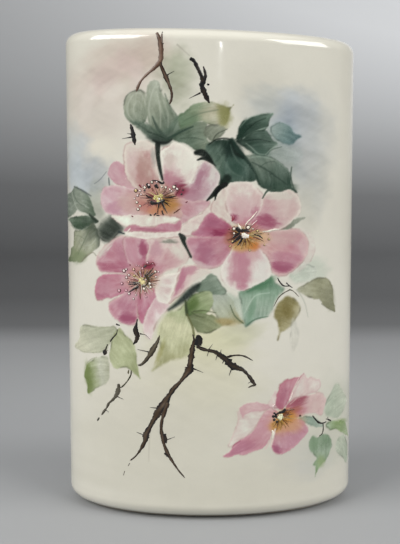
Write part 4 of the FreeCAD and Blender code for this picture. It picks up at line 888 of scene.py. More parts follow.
# Each run: points (s, z, width), body colour and edge colour
TWIGS = {
    "twig_top_left": [
        ([(-35.5, 317.3, 1.5), (-34, 314.5, 2), (-32.8, 310, 3), (-32.3, 305, 3.2),
          (-33, 299.5, 3.2), (-36.5, 295.5, 2.4), (-41, 292, 1.7), (-44.3, 289, 1.6),
          (-46.7, 286, 1.8), (-49, 280.8, 1.4)], BROWN, (72, 54, 44)),
        ([(-31.8, 316.5, 0.8), (-32, 313, 1.4), (-32.3, 309, 1.6)], BROWN, BLACK),
        ([(-33.8, 300, 2.4), (-31.7, 295, 2), (-29.3, 289.5, 3), (-27.3, 285, 1.8),
          (-25.6, 280, 1.8), (-25.7, 276, 1.6), (-27, 272.5, 0.8)], (92, 74, 60), (36, 28, 22)),
        ([(-53.2, 260.5, 1), (-52.2, 257.5, 2.4), (-51.2, 253.5, 3.2), (-50.6, 250, 3),
          (-50, 247, 0.8)], (38, 30, 22), BLACK),
    ],
    "twig_top_right": [
        ([(-14, 300.8, 2.2), (-11.3, 299.3, 2.2), (-9, 295, 2), (-6.8, 290.5, 2.4),
          (-5.5, 286.8, 3.6), (-6.3, 284, 3.4), (-4.8, 280, 3.8), (-3.2, 276.5, 3),
          (-1.4, 273, 1)], (40, 33, 26), (20, 16, 12)),
        ([(-4.3, 287, 2), (-4, 291, 1.8), (-5.3, 296, 0.7)], BLACK, (20, 16, 12)),
        ([(-3, 284.7, 1.6), (-1.4, 284.6, 0.8)], BLACK, (20, 16, 12)),
    ],
    "twig_centre": [
        ([(-12.3, 125, 0.9), (-11.4, 121, 1.6), (-12.4, 116.5, 3.2), (-13.2, 111, 3.8),
          (-14, 106, 3.2), (-14.2, 102.5, 4.8), (-17, 98, 3.2), (-21, 92.8, 2),
          (-25, 88.5, 3.2), (-27.5, 84.5, 3.4), (-30.8, 79, 4.4), (-34.3, 74, 5),
          (-37.7, 68, 3.8), (-40.7, 62.5, 2.8), (-43.5, 57, 4), (-44.3, 52.5, 3),
          (-47.3, 46.5, 1.7), (-51, 41.3, 1), (-54.8, 38, 0.8)], (78, 63, 48), (24, 18, 14)),
        ([(-55.3, 36, 0.6), (-56.5, 34, 0.4)], BLACK, BLACK),
        ([(-59, 30.2, 0.5), (-60, 27, 0.5)], (90, 84, 76), (90, 84, 76)),
        ([(-29, 79.5, 3), (-31, 73, 2.8), (-32.7, 67, 2), (-33.3, 61, 2), (-32.4, 55, 2.2),
          (-31.2, 50, 1.8), (-28.5, 43.8, 2), (-25.3, 38.5, 1.4), (-21.5, 33, 1.2),
          (-17.5, 28.4, 0.6)], (86, 70, 56), (34, 27, 21)),
        ([(-31.2, 58, 2), (-30.6, 55, 2.4), (-30, 51.5, 1)], BLACK, BLACK),
        ([(-31.5, 44.7, 0.9), (-29, 43.6, 2.6), (-27.5, 42, 1.4)], BLACK, BLACK),
    ],
    "twig_lower_left": [
        ([(-49.2, 134.2, 0.7), (-50, 130, 1.8), (-50.5, 126, 3.2), (-49.3, 123, 3),
          (-50.2, 119.5, 2.4), (-52.4, 117, 1)], (44, 36, 26), BLACK),
        ([(-34, 124, 0.6), (-35.6, 119.5, 2), (-38.2, 115, 3), (-40.5, 111, 3.2),
          (-43.5, 106.8, 2.2), (-46.5, 103.9, 1.6), (-49, 103.3, 1)], (84, 76, 60), (44, 38, 28)),
        ([(-64.8, 129.8, 1), (-61.8, 129, 1.1)], BLACK, BLACK),
        ([(-63.7, 126.5, 0.8), (-64.3, 123.5, 0.9), (-67, 120.5, 1.1), (-69.4, 117.5, 0.9)],
         (52, 52, 40), BLACK),
        ([(-71.2, 115.8, 1.2), (-72.6, 112.5, 1.1), (-73.6, 110, 3), (-74.2, 108, 1)],
         BLACK, BLACK),
        ([(-55.6, 99.7, 1), (-56, 97, 1.2)], (104, 100, 76), (90, 86, 66)),
        ([(-53.7, 99.5, 0.8), (-54.2, 96, 1), (-57, 91.5, 0.9), (-60.3, 88, 0.9),
          (-62.4, 87, 1)], (72, 70, 54), (60, 58, 44)),
        ([(-63, 89.7, 1.6), (-63.2, 86, 3), (-64.7, 82, 3), (-67.2, 78.6, 1.8),
          (-70.6, 75.5, 1.6), (-72.6, 72, 1.3), (-75, 69, 1.5), (-76.8, 66.5, 0.7)],
         (88, 84, 72), (62, 58, 48)),
        ([(-78.5, 64.5, 1.2), (-80.5, 62, 0.9)], (70, 68, 58), (60, 58, 48)),
    ],
    "twig_right": [
        ([(-9.9, 117.5, 2.4), (-9.4, 121.5, 3.2), (-8.3, 122.8, 3.2), (-7.4, 120.5, 2.8),
          (-7.9, 117.5, 2.4)], (32, 30, 22), BLACK),
        ([(-9.8, 117.3, 1.6), (-6.5, 115.5, 2), (-2.5, 114.4, 2.2), (2, 113.4, 2.8),
          (6, 110.8, 3), (10, 107.6, 3.8), (12.5, 104.5, 4.8), (16.5, 102.6, 3.8),
          (20.5, 101, 2), (24.3, 97, 2), (27, 93, 2.2), (29, 90.3, 1.6)],
         (58, 49, 38), (22, 18, 14)),
        ([(9, 109.3, 1.8), (13, 110.6, 1.2), (18, 110.9, 1), (22.5, 109.7, 1), (27, 107, 0.5)],
         (66, 58, 46), BLACK),
        ([(29, 90.3, 1), (26.5, 90.2, 1.1), (24, 89, 0.6)], (70, 66, 56), (60, 56, 46)),
        ([(43.5, 161.3, 0.7), (45.6, 157.8, 1), (48.3, 155.7, 1.1), (52.5, 155.6, 0.8)],
         BLACK, BLACK),
        ([(49.7, 158, 0.6), (51, 156.4, 1), (54.3, 154.2, 0.7)], BLACK, BLACK),
        ([(52.8, 153.2, 0.8), (48.3, 151.2, 0.8), (44.2, 148, 0.8), (41, 142.3, 0.5)],
         (70, 66, 48), (60, 56, 40)),
        ([(51.7, 153.3, 0.8), (55, 151.8, 0.6), (59, 148, 0.5)], (90, 86, 66), (80, 76, 58)),
        ([(70.3, 66.3, 1.1), (72.5, 63.6, 1.1), (75.5, 60.8, 1.4), (79, 59.7, 1),
          (82.5, 60.2, 0.5)], BLACK, BLACK),
        ([(79.3, 59.6, 0.8), (79.6, 55.5, 1), (78.7, 52.5, 0.8), (76, 51, 0.5)],
         (52, 54, 40), BLACK),
        ([(82, 62.3, 0.5), (84.5, 61.2, 1), (87, 60, 0.7)], BLACK, BLACK),
        ([(60, 67.2, 1.2), (61.5, 67.3, 1)], BLACK, BLACK),
    ],
}

# Each thorn: foot (s, z), tip (s, z) and the width at its foot
THORNS = {
    "twig_top_left": [
        ((-29.3, 290.3), (-23.8, 293.2), 1.3), ((-51.7, 252.2), (-59.3, 251.2), 1.4),
        ((-52.6, 254), (-55.5, 254.5), 0.8), ((-31.6, 317.8), (-32.3, 315.5), 0.8),
        ((-30.8, 310.6), (-32.4, 308), 0.8),
    ],
    "twig_top_right": [((-7, 279.6), (-14.5, 276), 1.3)],
    "twig_centre": [
        ((-12.5, 102.5), (-5.3, 99.6), 1.2), ((-14.5, 103.5), (-17.6, 103), 1.6),
        ((-35, 75), (-40.8, 75.3), 1.2), ((-26, 88.7), (-27.5, 87.7), 1.6),
        ((-28.5, 85), (-30, 84), 1.2), ((-44.5, 56), (-50.3, 57.8), 1.0),
        ((-40.5, 63.5), (-42, 62.5), 1.4), ((-30.4, 53.6), (-24, 56.2), 0.9),
    ],
    "twig_lower_left": [
        ((-47.6, 124.4), (-43.5, 123.8), 1.0), ((-43.6, 123.8), (-40.4, 120.9), 0.5),
        ((-41.5, 112.5), (-49.3, 113.8), 1.0), ((-74, 110.5), (-70.8, 111.4), 1.0),
        ((-64.6, 81), (-59.6, 79.3), 0.9), ((-73, 70.5), (-70.6, 69.2), 0.6),
        ((-73.5, 110.4), (-75.4, 110.8), 1.0),
    ],
    "twig_right": [
        ((13.3, 103), (11.3, 97.4), 1.2), ((8, 107.5), (6.8, 105.6), 1.0),
        ((4, 112.5), (2.6, 107.8), 0.9), ((5.5, 112.5), (6.2, 115), 0.7),
        ((-1.8, 114.5), (-3, 110.5), 0.6), ((27, 93.6), (23.8, 92), 0.7),
        ((-2, 115), (0.6, 118.6), 0.6), ((84, 61.3), (83.6, 63.5), 0.6),
    ],
}

# ---------------------------------------------------------------- painting: rose hearts
SOOT = (28, 20, 16)
GOLD = (186, 146, 74)
STRAW = (206, 182, 128)
UMBER = (104, 62, 44)
MAROON = (112, 40, 50)
SHELL = (226, 208, 204)
PINK = (224, 176, 186)
IVORY = (230, 222, 206)

# Each heart: its middle, the half-widths and colour of its eye, how far the filaments reach,
# fans of filaments (first angle, last angle, count, colours), anthers (s, z, radius, colour)
# and strokes (points, colour) between them.
HEARTS = {
    "rose_upper_left_stamens": {
        "middle": (-34.3, 213.3),
        "eye": (3.8, 2.9),
        "eye_colour": (202, 190, 122),
        "reach": (12.5, 8.6),
        "fans": [(-165, -95, 16, [UMBER, (150, 84, 70), MAROON]), (-95, -20, 14, [GOLD, UMBER, SOOT]),
                 (-20, 30, 8, [UMBER, GOLD, (150, 104, 66)]),
                 (30, 150, 18, [(176, 120, 112), UMBER, STRAW]),
                 (150, 195, 9, [(160, 100, 88), MAROON, UMBER])],
        "anthers": [
            (-49.6, 217.6, 1.3, STRAW), (-48.6, 215.1, 1.1, SHELL), (-46.6, 218.2, 1.0, SHELL),
            (-43.4, 219.6, 1.3, IVORY), (-38.4, 223.1, 1.3, (196, 192, 178)),
            (-31.9, 220.6, 1.0, IVORY), (-29.4, 220.0, 1.0, IVORY), (-24.4, 220.6, 1.2, IVORY),
            (-25.6, 217.7, 0.8, SHELL), (-48.8, 210.3, 1.2, IVORY), (-48.5, 205.7, 1.3, IVORY),
            (-35.8, 223.4, 0.7, SHELL), (-34.0, 212.5, 1.1, IVORY), (-50.4, 212.8, 0.8, SHELL),
            (-47.0, 208.0, 0.8, IVORY), (-46.0, 215.4, 0.7, SHELL), (-41.0, 221.4, 0.9, SHELL),
            (-27.2, 219.2, 0.8, IVORY), (-22.4, 219.0, 0.8, SHELL), (-44.8, 221.6, 0.7, PINK)],
        "strokes": [
            ([(-39.4, 211.6, 1.2), (-38.2, 209.9, 2.8), (-34.5, 210.2, 1.6), (-30.2, 212, 2.0)], SOOT),
            ([(-42.2, 222.6, 1.6), (-41.2, 221, 2.4), (-40, 219.6, 1.4)], SOOT),
            ([(-36.6, 222, 1.6), (-35.6, 220.6, 2.2), (-34.6, 219.6, 1.0)], SOOT),
            ([(-38.6, 224.6, 0.6), (-35, 224, 1.0), (-32, 222.6, 1.2), (-30.8, 223.8, 1.0)], SOOT),
            ([(-47.4, 221.8, 1.2), (-45.8, 219.8, 1.0)], MAROON),
            ([(-44.4, 218, 1.0), (-43, 218, 1.2)], SOOT),
            ([(-38.8, 219.8, 0.8), (-37.8, 217.6, 0.8)], UMBER),
            ([(-47.4, 216, 0.8), (-45.8, 215.4, 0.8)], UMBER),
            ([(-23.2, 215.2, 1.0), (-21.8, 217.6, 0.8), (-20, 220.6, 0.6)], MAROON),
            ([(-20, 215.4, 1.2), (-18.8, 216.2, 1.0)], SOOT),
            ([(-23.6, 221.4, 1.0), (-23, 221.6, 1.0)], SOOT),
            ([(-19, 218, 1.0), (-18, 218.8, 0.8)], SOOT),
            ([(-16.8, 210.4, 0.8), (-15.4, 211.2, 0.8)], MAROON),
            ([(-40.4, 202.5, 1.2), (-39, 202.1, 1.2)], SOOT),
            ([(-37.6, 202, 0.9), (-35.8, 203.9, 0.9)], SOOT),
            ([(-36, 202.2, 0.9), (-33.8, 202, 0.7)], SOOT),
            ([(-32.2, 205.4, 0.9), (-31.8, 203.6, 1.0), (-31, 202.4, 0.8)], SOOT),
            ([(-52.8, 201.6, 0.9), (-51.6, 201, 0.7)], MAROON),
            ([(-24.6, 203.6, 0.6), (-22.4, 205, 1.0), (-20.2, 206.6, 0.4)], UMBER),
            ([(-38.8, 213, 0.8), (-41.4, 214, 1.0), (-43, 215.6, 0.4)], SOOT),
            ([(-30.4, 213.6, 1.0), (-26.4, 213.9, 0.9), (-22.6, 214.8, 0.4)], SOOT),
            ([(-34.2, 209.6, 1.0), (-34.8, 206, 0.7), (-35, 203, 0.4)], SOOT),
            ([(-32.2, 210.4, 1.4), (-30.6, 207.2, 0.9), (-28.6, 203.2, 0.3)], SOOT)]},
    "rose_right_stamens": {
        "middle": (21.6, 189.2),
        "eye": (2.6, 1.6),
        "eye_colour": (232, 222, 214),
        "reach": (12.0, 9.4),
        "fans": [(-150, -60, 26, [GOLD, (150, 112, 52), STRAW, UMBER]),
                 (-60, -20, 8, [GOLD, (188, 118, 56)]), (-20, 25, 12, [STRAW, GOLD, (120, 88, 52)]),
                 (25, 150, 14, [UMBER, (176, 120, 100), GOLD]),
                 (150, 210, 12, [(150, 96, 78), UMBER, MAROON])],
        "anthers": [
            (14.4, 193.7, 1.1, IVORY), (23.4, 194.2, 1.4, IVORY), (29.3, 192.1, 1.0, STRAW),
            (14.4, 190.9, 0.7, IVORY), (13.2, 185.8, 0.8, STRAW), (37.6, 186.5, 0.8, STRAW),
            (34.6, 182.8, 0.6, STRAW), (24.8, 179.7, 0.6, STRAW), (12.0, 182.6, 0.7, STRAW),
            (34.2, 191.5, 0.5, IVORY), (37.0, 190.3, 0.5, STRAW), (26.4, 193.4, 0.6, IVORY)],
        "strokes": [
            ([(12.9, 184.2, 0.8), (15.6, 186.4, 2.0), (19, 189.2, 2.4)], SOOT),
            ([(16.6, 182.8, 0.4), (18.4, 185.2, 1.8), (20, 188, 2.2)], SOOT),
            ([(13.6, 187.6, 0.6), (15.4, 189.2, 1.6), (18.4, 191.2, 1.8)], SOOT),
            ([(16.4, 195, 1.4), (16.9, 193.2, 2.4), (19, 192.4, 2.2), (22.4, 192.4, 1.8),
              (24.6, 191.6, 0.8)], SOOT),
            ([(21.6, 187.4, 0.8), (21.4, 184.6, 1.0)], SOOT),
            ([(27.4, 190, 0.5), (30.8, 188.9, 1.0), (33.4, 187, 0.4)], SOOT),
            ([(26.6, 188.2, 0.4), (30.4, 187.2, 0.9), (34, 185.2, 0.3)], UMBER),
            ([(16.9, 197, 0.7), (18, 195, 1.2), (19.2, 192.8, 0.6)], IVORY),
            ([(21.6, 195.6, 0.5), (23.2, 197.9, 0.9), (26.2, 200.8, 0.8), (29.6, 205, 0.4)], IVORY),
            ([(25.8, 195.8, 0.4), (27.6, 197.4, 0.6), (29.6, 199, 0.3)], SHELL),
            ([(15.8, 185.6, 0.3), (18, 188, 0.6)], IVORY),
            ([(33, 191.6, 0.4), (37, 191.8, 1.0), (41, 192.8, 1.2), (44.4, 192.9, 0.5)], IVORY),
            ([(13.6, 202.3, 0.6), (13.8, 200.2, 1.8), (12.9, 198.2, 0.4)], (150, 66, 84)),
            ([(10.8, 193.2, 0.8), (11.8, 193.4, 0.8)], MAROON),
            ([(19.2, 190.4, 1.0), (21.8, 189.4, 2.2), (23.8, 187.8, 1.6)], IVORY)]},
    "rose_lower_left_stamens": {
        "middle": (-45.8, 159.3),
        "eye": (2.5, 2.7),
        "eye_colour": (208, 194, 142),
        "reach": (10.6, 9.6),
        "fans": [(-180, -90, 16, [UMBER, SOOT, (150, 104, 84)]),
                 (-90, -20, 10, [(120, 92, 66), UMBER, STRAW]),
                 (-20, 30, 8, [UMBER, (150, 112, 84)]), (30, 75, 14, [GOLD, SOOT, STRAW, UMBER]),
                 (75, 180, 20, [(170, 110, 96), MAROON, STRAW]), (-180, 180, 30, [SHELL, PINK, IVORY])],
        "anthers": [
            (-58.6, 165.7, 1.2, SHELL), (-57.0, 166.3, 1.0, SHELL), (-51.7, 166.7, 0.9, (226, 184, 164)),
            (-54.5, 163.0, 1.0, SHELL), (-51.3, 162.6, 1.1, STRAW), (-56.4, 161.0, 0.9, SHELL),
            (-55.3, 158.7, 0.8, (222, 170, 160)), (-60.2, 157.2, 1.1, PINK), (-61.8, 152.6, 1.1, PINK),
            (-56.6, 153.0, 0.8, PINK), (-54.5, 150.5, 0.9, SHELL), (-51.6, 147.5, 0.9, SHELL),
            (-50.1, 149.7, 0.6, SHELL), (-44.4, 154.3, 1.2, IVORY), (-40.1, 155.7, 1.2, IVORY),
            (-40.6, 158.0, 0.9, IVORY), (-36.5, 162.6, 0.9, SHELL), (-36.8, 166.0, 1.0, IVORY),
            (-34.7, 165.4, 0.7, SHELL), (-42.0, 171.2, 1.1, PINK), (-45.3, 167.3, 0.8, PINK),
            (-47.2, 165.2, 0.6, SHELL), (-43.4, 151.8, 0.6, PINK), (-42.8, 149.0, 0.6, PINK),
            (-49.9, 169.4, 0.7, PINK), (-47.8, 169.4, 0.7, PINK), (-38.6, 171.0, 0.5, PINK)],
        "strokes": [
            ([(-50, 157.4, 1.8), (-52.6, 157, 1.0), (-55.4, 156.7, 0.6)], SOOT),
            ([(-48.2, 155.4, 2.4), (-50.4, 154.6, 1.8), (-53, 152.8, 1.0), (-55.6, 151.4, 0.8)], SOOT),
            ([(-44, 163.6, 1.4), (-42, 161.6, 2.4), (-41.6, 159, 1.8), (-43.4, 156.4, 1.4),
              (-46, 155.6, 1.6)], (62, 52, 34)),
            ([(-42.4, 163, 1.0), (-40, 165.6, 0.8), (-38, 168.4, 0.4)], SOOT),
            ([(-41, 162.4, 1.0), (-38.4, 164, 0.8), (-35.6, 166.2, 0.3)], SOOT),
            ([(-47.4, 152.6, 0.4), (-47.2, 150, 0.9), (-47, 147, 0.3)], UMBER),
            ([(-44.4, 170.4, 1.0), (-41, 170, 1.2), (-38.4, 171.6, 1.0), (-36.8, 169.4, 0.5)], MAROON),
            ([(-44.6, 168.4, 1.2), (-42.6, 169.6, 0.8)], SOOT),
            ([(-54.4, 169.9, 0.8), (-53.6, 169.2, 0.8)], MAROON),
            ([(-40.4, 159.6, 0.8), (-37, 159.6, 0.7), (-33.6, 160.2, 0.3)], UMBER)]},
    "rose_lower_right_stamens": {
        "middle": (46.2, 68.0),
        "eye": (1.9, 2.1),
        "eye_colour": (216, 214, 180),
        "reach": (10.5, 9.0),
        "fans": [(-140, -45, 20, [GOLD, (150, 106, 44), UMBER]), (-45, 5, 7, [(176, 118, 44), GOLD]),
                 (5, 45, 10, [UMBER, (140, 84, 40)])],
        "anthers": [(42.0, 71.1, 0.9, SOOT), (41.2, 68.6, 1.0, SOOT), (41.6, 66.2, 1.1, SOOT),
                    (43.4, 64.9, 0.9, SOOT), (42.4, 67.2, 0.5, (190, 170, 130)),
                    (60.7, 67.3, 0.8, UMBER)],
        "strokes": [
            ([(43.3, 67.4, 1.8), (43, 69.6, 1.6), (45.4, 70.9, 1.4), (48, 71.4, 2.2),
              (50, 73, 1.4)], SOOT),
            ([(48.6, 71.6, 1.4), (52, 72.3, 1.2), (56.4, 72.2, 0.4)], UMBER),
            ([(41.4, 73.6, 0.3), (40.9, 75.8, 0.8), (42.4, 76.9, 0.3)], SHELL),
            ([(52.2, 78.2, 0.4), (53.4, 80.4, 1.0), (54.8, 83.8, 0.4)], SHELL),
            ([(40.4, 59.4, 1.2), (41.2, 57, 1.6), (40.6, 53.6, 0.8)], IVORY)]},
}

# ---------------------------------------------------------------- the wall of the vase
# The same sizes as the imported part, in millimetres.

HEIGHT = 320.0                 # underside of the body to the rim, on the axis
FOOT = 2.0                     # how far the foot ring lifts the body
BASE = (100.5, 55.9)           # half width and half depth
TOP = (98.6, 54.8)
SLOPE = math.radians(1.78)
HEEL = 9.0
SHOULDER = 8.0
WALL = 5.0
FLOOR = 7.0
LIP_WIDTH = 9.5
LIP_THICKNESS = 5.0
LIP_EDGE = 2.2
LIP_DROP = 2.24                # rim to the middle of the rounding of the mouth's edge
LIP_LEAN = 83.0                # degrees, where that rounding meets the shoulder
INNER_HEEL = 6.0
INNER_SHOULDER = 2.5
UNDER_LIP = (LIP_WIDTH, -3.5, 1.0)      # the first row of the profile inside the mouth

FACE_REACH = 118.0             # how far round the fine mesh of the painted face goes
FINE_STEP = 0.6
COARSE_STEP = 4.0
INNER_STEP = 8.0

TURNS = np.linspace(0, math.pi, 4001)
MEAN_SPEED = np.hypot((BASE[0] + TOP[0]) / 2 * np.cos(TURNS),
                      (BASE[1] + TOP[1]) / 2 * np.sin(TURNS))
RUNS = np.concatenate([[0], np.cumsum((MEAN_SPEED[1:] + MEAN_SPEED[:-1]) / 2 * np.diff(TURNS))])
HALF_ROUND = RUNS[-1]


def wall_point(s, row, out=0.0):
    """Where a row of the profile meets s; a row is (inset, up, share of the rim's height)."""
    inset, up, of_rim = row
    turn = np.sign(s) * np.interp(np.abs(s), RUNS, TURNS)
    across = np.sin(turn)
    ahead = -np.cos(turn)
    steep = np.hypot(across * BASE[1], ahead * BASE[0])
    normal = (across * BASE[1] / steep, ahead * BASE[0] / steep)
    rim = HEIGHT - (TOP[0] * across - inset * normal[0]) * math.tan(SLOPE)
    z = up + of_rim * rim
    share = np.clip(z / HEIGHT, 0, 1)
    width = BASE[0] + share * (TOP[0] - BASE[0])
    depth = BASE[1] + share * (TOP[1] - BASE[1])
    push = out - inset
    return np.stack([width * across + push * normal[0], depth * ahead + push * normal[1],
                     z + FOOT + 0 * s], axis=-1)


def painted_point(s, z, out=0.0):
    """A painted point on the wall, rising over the curve of the shoulder."""
    s = np.asarray(s, float)
    z = np.asarray(z, float)
    turn = np.sign(s) * np.interp(np.abs(s), RUNS, TURNS)
    rim = HEIGHT - TOP[0] * np.sin(turn) * math.tan(SLOPE)
    above = np.clip(z - (rim - SHOULDER), 0, SHOULDER)
    inset = SHOULDER - np.sqrt(SHOULDER ** 2 - above ** 2)
    return wall_point(s, (inset, z, 0.0), out)


def arc(inset, up, radius, start, end, of_rim, count):
    """Profile rows round an arc; angles in degrees, 0 is out of the wall and 90 is up."""
    rows = []
    for angle in np.radians(np.linspace(start, end, count)):
        rows.append((inset - radius * math.cos(angle), up + radius * math.sin(angle), of_rim))
    return rows


def run_up(inset, low, high, step):
    """Profile rows up a straight wall, from low above the base to high below the rim."""
    count = int(HEIGHT / step)
    rows = []
    for index in range(1, count):
        share = index / count
        rows.append((inset, low * (1 - share) - high * share, share))
    return rows


def profile():
    """The glazed surface: under the vase, up the outside, over the lip, down to the floor."""
    rows = [(28.0, 0.0, 0.0), (20.0, 0.0, 0.0), (14.0, 0.0, 0.0)]
    rows += arc(HEEL, HEEL, HEEL, -90, 0, 0.0, 16)
    rows += run_up(0.0, HEEL, SHOULDER, FINE_STEP)
    rows += arc(SHOULDER, -SHOULDER, SHOULDER, 0, LIP_LEAN, 1.0, 20)
    rows += arc(LIP_WIDTH - LIP_EDGE, -LIP_DROP, LIP_EDGE, LIP_LEAN + 8, 180, 1.0, 10)
    rows += [UNDER_LIP, (LIP_WIDTH, -LIP_THICKNESS, 1.0), (LIP_WIDTH - 0.5, -LIP_THICKNESS, 1.0)]
    rows += arc(WALL + INNER_SHOULDER, -LIP_THICKNESS - INNER_SHOULDER, INNER_SHOULDER,
                90, 0, 1.0, 5)
    rows += run_up(WALL, FLOOR + INNER_HEEL, LIP_THICKNESS + INNER_SHOULDER, INNER_STEP)[::-1]
    rows += arc(WALL + INNER_HEEL, FLOOR + INNER_HEEL, INNER_HEEL, 0, -90, 0.0, 7)
    rows += [(16.0, FLOOR, 0.0), (24.0, FLOOR, 0.0)]
    return rows


def columns():
    """How far round the wall each column of the mesh stands: fine in front, coarse behind."""
    front = np.arange(-FACE_REACH, FACE_REACH + FINE_STEP / 2, FINE_STEP)
    count = int((HALF_ROUND - FACE_REACH) / COARSE_STEP)
    right = np.linspace(FACE_REACH, HALF_ROUND, count + 1)[1:]
    left = -right[:-1][::-1]
    return np.concatenate([front, right, left])


def grid_normals(points):
    """Outward normals of a grid of points that closes on itself sideways."""
    sideways = np.roll(points, -1, axis=1) - np.roll(points, 1, axis=1)
    upward = np.gradient(points, axis=0)
    normals = np.cross(sideways, upward)
    return normals / np.maximum(np.linalg.norm(normals, axis=2, keepdims=True), 1e-9)


def grid_faces(across, around):
    """Quads of a grid of points that closes on itself sideways, as rows of four indices."""
    low = np.arange(across - 1)[:, None] * around
    here = low + np.arange(around)[None, :]
    beside = low + (np.arange(around)[None, :] + 1) % around
    return np.stack([here, beside, beside + around, here + around], axis=-1).reshape(-1, 4)


# ---------------------------------------------------------------- the painted skin

PAINT_GAIN = 1.15               # how much lighter the paint is than it looks once lit
VEIL = 0.012                    # reflected light that the glaze adds everywhere
LOWEST_PAINT = 0.5              # height above the underside where the painted face begins
PAINTED_RIM_SHADE = 0.07                # painted shade: how much darker the glaze is painted over the shoulder, the lip and down the inside wall
LONG_SWAY = 0.16                # how far the wall wanders in and out over 30 to 46 mm
SHORT_SWAY = 0.04               # and over 13 to 17 mm
WARM_TINT = np.array([198, 190, 180], float)
COOL_TINT = np.array([190, 194, 190], float)


def to_light(colour):
    """sRGB from 0 to 255, to linear from 0 to 1."""
    value = np.clip(np.asarray(colour, float) / 255, 0, 1)
    return np.where(value <= 0.04045, value / 12.92, ((value + 0.055) / 1.055) ** 2.4)


def pigment(colour):
    """Paint that looks like a colour once the vase is lit."""
    return np.clip(to_light(colour) * PAINT_GAIN - VEIL, 0.003, 0.93)


def new_piece(name, points, faces, colours, material, normals=None):
    """A smooth mesh with paint colours at its points, placed in millimetres."""
    mesh = bpy.data.meshes.new(name)
    mesh.from_pydata((np.asarray(points) * MM).tolist(), [], [list(face) for face in faces])
    paint = mesh.color_attributes.new("paint", "FLOAT_COLOR", "POINT")
    shades = np.ones((len(points), 4), np.float32)
    shades[:, :3] = colours
    paint.data.foreach_set("color", shades.ravel())
    mesh.shade_smooth()
    if normals is not None:
        mesh.normals_split_custom_set_from_vertices(normals.tolist())
    mesh.materials.append(material)
    piece = bpy.data.objects.new(name, mesh)
    bpy.context.scene.collection.objects.link(piece)
    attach(piece, "root")
    return piece


def close_ends(faces, places, shades, leans, around):
    """Fan in the underside and the floor of the vase to a point in the middle of each."""
    count = len(places)
    for start, middle, lean in ((0, (0.0, 0.0, FOOT), (0.0, 0.0, -1.0)),
                                (count - around, (0.0, 0.0, FOOT + FLOOR), (0.0, 0.0, 1.0))):
        places = np.vstack([places, [middle]])
        shades = np.vstack([shades, shades[start]])
        leans = np.vstack([leans, [lean]])
        hub = len(places) - 1
        for index in range(around):
            a, b = start + index, start + (index + 1) % around
            faces.append([b, a, hub] if start == 0 else [a, b, hub])
    return faces, places, shades, leans


def paint_back(colour, s, height, where):
    """Beyond the painted face the bare glaze carries only faint cloudy tints."""
    warm = smooth(0.52, 0.9, grain(s / 55 + 3, height / 60, 21)) * 0.5
    cool = smooth(0.55, 0.9, grain(s / 60 + 9, height / 70, 22)) * 0.5
    fade = smooth(FACE_REACH, FACE_REACH + 30, np.abs(s))
    for shade, amount in ((WARM_TINT, warm), (COOL_TINT, cool)):
        amount = np.where(where, amount * fade, 0.0)[..., None]
        colour += (shade - colour) * amount


def paint_wall(rows, runs, points):
    """Each wall point's colour, owning motif and swelling along its normal, and the motifs."""
    shape = points.shape[:2]
    s = np.broadcast_to(runs, shape)
    height = points[..., 2] - FOOT
    inset = np.array([row[0] for row in rows])[:, None] + 0 * s
    outside = (np.arange(len(rows))[:, None] < rows.index(UNDER_LIP)) & (inset < LIP_WIDTH)
    facing = outside & (np.abs(s) <= FACE_REACH) & (height > LOWEST_PAINT)
    canvas = Canvas(s[facing], height[facing])
    paint_face(canvas)
    colour = np.tile(np.array(PORCELAIN, float), (*shape, 1))
    colour[facing] = canvas.colour
    relief = np.zeros(shape)
    relief[facing] = canvas.relief
    owner = np.zeros(shape, int)
    owner[facing] = canvas.owner
    paint_back(colour, s, height, outside & ~facing)
    # Painted shade: the shoulder, the lip and the inside wall are darkened a little.
    rim_shading = smooth(0.5, 5.0, inset)[..., None] * (height > FOOT + HEEL)[..., None]
    colour *= 1 - PAINTED_RIM_SHADE * rim_shading
    sway = (waver(s / 46 + 40, height / 30, 5) * LONG_SWAY
            + waver(s / 17, height / 13, 6) * SHORT_SWAY)
    return colour, owner, np.where(outside, sway, 0.0) + relief, canvas.motifs


def painted_vase(materials):
    """The glaze and every patch of enamel on it, as one skin shared out between its motifs."""
    rows = profile()
    runs = columns()
    points = np.stack([wall_point(runs, row) for row in rows])
    colour, owner, swell, motifs = paint_wall(rows, runs, points)
    points = points + grid_normals(points) * swell[..., None]
    layers = (points.reshape(-1, 3), pigment(colour.reshape(-1, 3)),
              grid_normals(points).reshape(-1, 3))
    faces = grid_faces(len(rows), len(runs))
    belongs = owner.ravel()[faces].max(axis=1)
    for number, motif in enumerate(motifs):
        used, renumbered = np.unique(faces[belongs == number], return_inverse=True)
        kept = renumbered.reshape(-1, 4).tolist()
        places, shades, leans = (layer[used] for layer in layers)
        if motif == "glaze_coat":
            kept, places, shades, leans = close_ends(kept, places, shades, leans, len(runs))
        kind = "glaze" if motif == "glaze_coat" else motif.split("_")[0]
        piece = new_piece(f"painted_{motif}", places, kept, shades, materials[kind], leans)
        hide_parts(motif)


# ---------------------------------------------------------------- raised lines and dots

LINE_SPREAD = 1.22              # how much wider raised lines are laid than listed
LINE_BULGE = 0.10               # how high a line domes, as a share of its width
WIDEST_BULGE = 2.4              # lines wider than this dome no higher
SUNK = -0.12                    # the edges of a line lie this far under the glaze
LINE_COLUMNS = 5
TWIG_LIFT = 0.10                # how far off the glaze each layer is laid
FILAMENT_LIFT = 0.22
EYE_LIFT = 0.28
STROKE_LIFT = 0.30
ANTHER_RIM_LIFT = 0.34
ANTHER_LIFT = 0.46
DOT_SPOKES = 8
DOT_DOME = 0.16                 # height of a dot, as a share of its radius
DOTS_IN_EYE = 26


